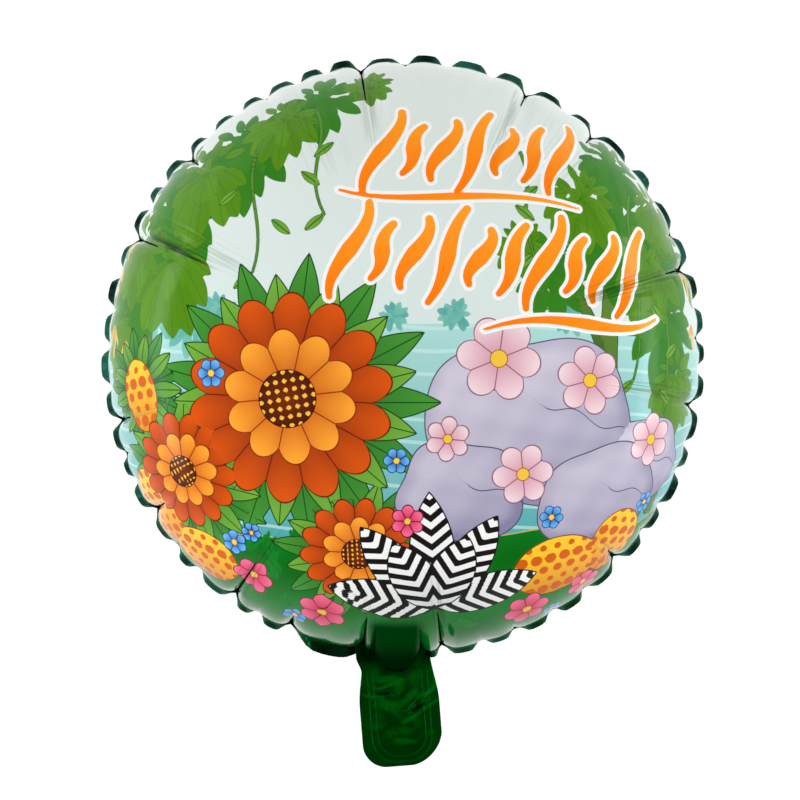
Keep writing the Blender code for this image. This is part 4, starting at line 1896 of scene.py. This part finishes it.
    def dash_row(self, name: str, finish: bpy.types.Material) -> bpy.types.Object:
        """Makes the row of short pressed dashes across the tail."""
        across = np.linspace(*self.dash_ends, self.dash_steps)
        bow = ((across - self.dash_middle) / self.dash_reach) ** 2
        along = self.dash_apex - self.dash_drop * bow
        graph = Graph(name)
        count = {"Curve": graph.entry.outputs["Path"], "Count": graph.size("Count", self.dash_count)}
        radius = graph.size("Dash radius", self.dash_radius)
        path = graph.node("GeometryNodeResampleCurve", {"mode": "COUNT"}, count)
        tangent = graph.node("GeometryNodeInputTangent", {}, {})
        along_path = {"Vector": tangent.outputs[0]}
        turn = graph.node("FunctionNodeAlignRotationToVector", {"axis": "X"}, along_path)
        dash = graph.node("GeometryNodeMeshUVSphere", {}, {"Segments": 8, "Rings": 6, "Radius": radius})
        row = graph.node(
            "GeometryNodeInstanceOnPoints",
            {},
            {
                "Points": path.outputs[0],
                "Instance": dash.outputs[0],
                "Rotation": turn.outputs[0],
                "Scale": self.dash_shape,
            },
        )
        return graph.run(name, self.on_top(across, along), row.outputs[0], finish)


FRONT_FOLDS = tuple(
    # angle, where it begins, length, depth, width
    Wrinkle(*fold)
    for fold in (
        # the bundle beside the long crease at the upper left
        (154.8, 0.014, 0.060, 0.0022, 0.0019),
        (152.6, 0.030, 0.080, 0.0012, 0.0022),
        # beside the crease at the top and the ones at the upper right
        (96.9, 0.040, 0.090, 0.0016, 0.0020),
        (95.0, 0.050, 0.070, 0.0010, 0.0020),
        (66.6, 0.030, 0.110, 0.0018, 0.0022),
        (63.2, 0.030, 0.080, 0.0014, 0.0020),
        (48.4, 0.020, 0.080, 0.0012, 0.0020),
        (18.8, 0.030, 0.110, 0.0018, 0.0022),
        (15.2, 0.040, 0.100, 0.0015, 0.0020),
        (9.5, 0.030, 0.120, 0.0012, 0.0026),
        (352.5, 0.020, 0.090, 0.0010, 0.0022),
        # beside the neck and the crease at the lower left
        (260.0, 0.010, 0.080, 0.0014, 0.0020),
        (279.2, 0.010, 0.090, 0.0018, 0.0020),
        (236.2, 0.030, 0.080, 0.0016, 0.0018),
    )
)

# sheaves of fine wrinkle strands on the front film, drawn as painted shade and as a bump
FRONT_SHEAVES = tuple(
    # angle, where it begins and ends, strength, half width
    FoldLine(*sheaf)
    for sheaf in (
        (154.9, 0.032, 0.112, 1.7, 0.0020),
        (151.5, 0.045, 0.130, 0.35, 0.0060),
        (98.0, 0.030, 0.110, 0.40, 0.0045),
        (112.0, 0.030, 0.120, 0.18, 0.0140),
        (66.5, 0.016, 0.120, 0.38, 0.0040),
        (56.0, 0.030, 0.120, 0.15, 0.0120),
        (48.6, 0.020, 0.110, 0.36, 0.0040),
        (17.5, 0.020, 0.130, 0.85, 0.0050),
        (352.0, 0.020, 0.110, 0.60, 0.0050),
        (316.5, 0.016, 0.080, 0.40, 0.0035),
        (277.5, 0.010, 0.110, 0.70, 0.0030),
        (261.8, 0.010, 0.090, 0.70, 0.0030),
        (235.0, 0.020, 0.110, 0.50, 0.0035),
        (192.5, 0.020, 0.090, 0.30, 0.0045),
    )
)


# the least and the most of a faint fold's angle, begin, length, depth and width
FAINT_FOLD = ((0, 360), (0, 0.02), (0.05, 0.12), (0.00015, 0.0007), (0.0014, 0.0036))


def faint_folds(count: int, seed: int) -> tuple[Wrinkle, ...]:
    """So many faint radial folds by seeded chance."""
    draw = np.random.default_rng(seed)
    return tuple(Wrinkle(*(draw.uniform(*ends) for ends in FAINT_FOLD)) for _ in range(count))


def main() -> None:
    """Builds the pieces, the stage, the lights and the camera."""
    mounts = {mount["name"]: mount for mount in frame["record"]["mounts"]}
    seam_height = (mounts["tail_front"]["pos_m"][2] + mounts["tail_back"]["pos_m"][2]) / 2
    rim = Rim()
    front_envelope = Envelope(
        rim,
        seam_height,
        wrinkles=FRONT_FOLDS + faint_folds(80, 5),
        creases=rim.long_creases(),
        sheaves=FRONT_SHEAVES,
    )
    back_envelope = Envelope(rim, seam_height, wrinkles=faint_folds(90, 8))
    printed = PrintedFilm().material("printed_film")
    foil = GreenFoil().material("green_foil")
    back_foil = GreenFoil(ink(0, 74, 22), ink(4, 110, 40), has_streaks=True).material("back_foil")
    tail_foil = GreenFoil(ink(0, 104, 10), ink(0, 132, 26), has_seals=True).material("tail_foil")
    dark_foil = GreenFoil(colour=ink(1, 20, 8), lighter=ink(1, 30, 12)).material("pressed_foil")
    tail = Tail(front_envelope)
    placed = (
        (Film(front_envelope, Side.FRONT).build("printed_front", printed), "front_film", "printed_film"),
        (
            Film(back_envelope, Side.BACK, per_tab=12, spacing=0.0022).build("green_back", back_foil),
            "back_film",
            "green_foil",
        ),
        (tail.layer("tail_front_layer", Side.FRONT, tail_foil, 150, 97), "front_film", "green_foil"),
        (tail.layer("tail_back_layer", Side.BACK, tail_foil, 60, 41), "back_film", "green_foil"),
        (tail.seal_bead("outer_seal", foil, tail.outer_seal), None, "green_foil"),
        (tail.seal_bead("inner_seal", foil, tail.inner_seal), None, "green_foil"),
        (tail.dash_row("tail_dashes", dark_foil), None, "green_foil"),
    )
    for piece, node, slot in placed:
        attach(piece, "root")
        if node is not None:
            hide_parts(node)
        log.info("%s: %d faces", piece.name, len(piece.data.polygons))
    valve = frame["nodes"]["inflation_valve"]
    clear = ClearFilm().material("valve_film")
    for slot in valve.material_slots:
        slot.material = clear
    Studio(seam_height).build()


if __name__ == "__main__":
    logging.basicConfig(level=logging.INFO, format="%(name)s: %(message)s")
    main()
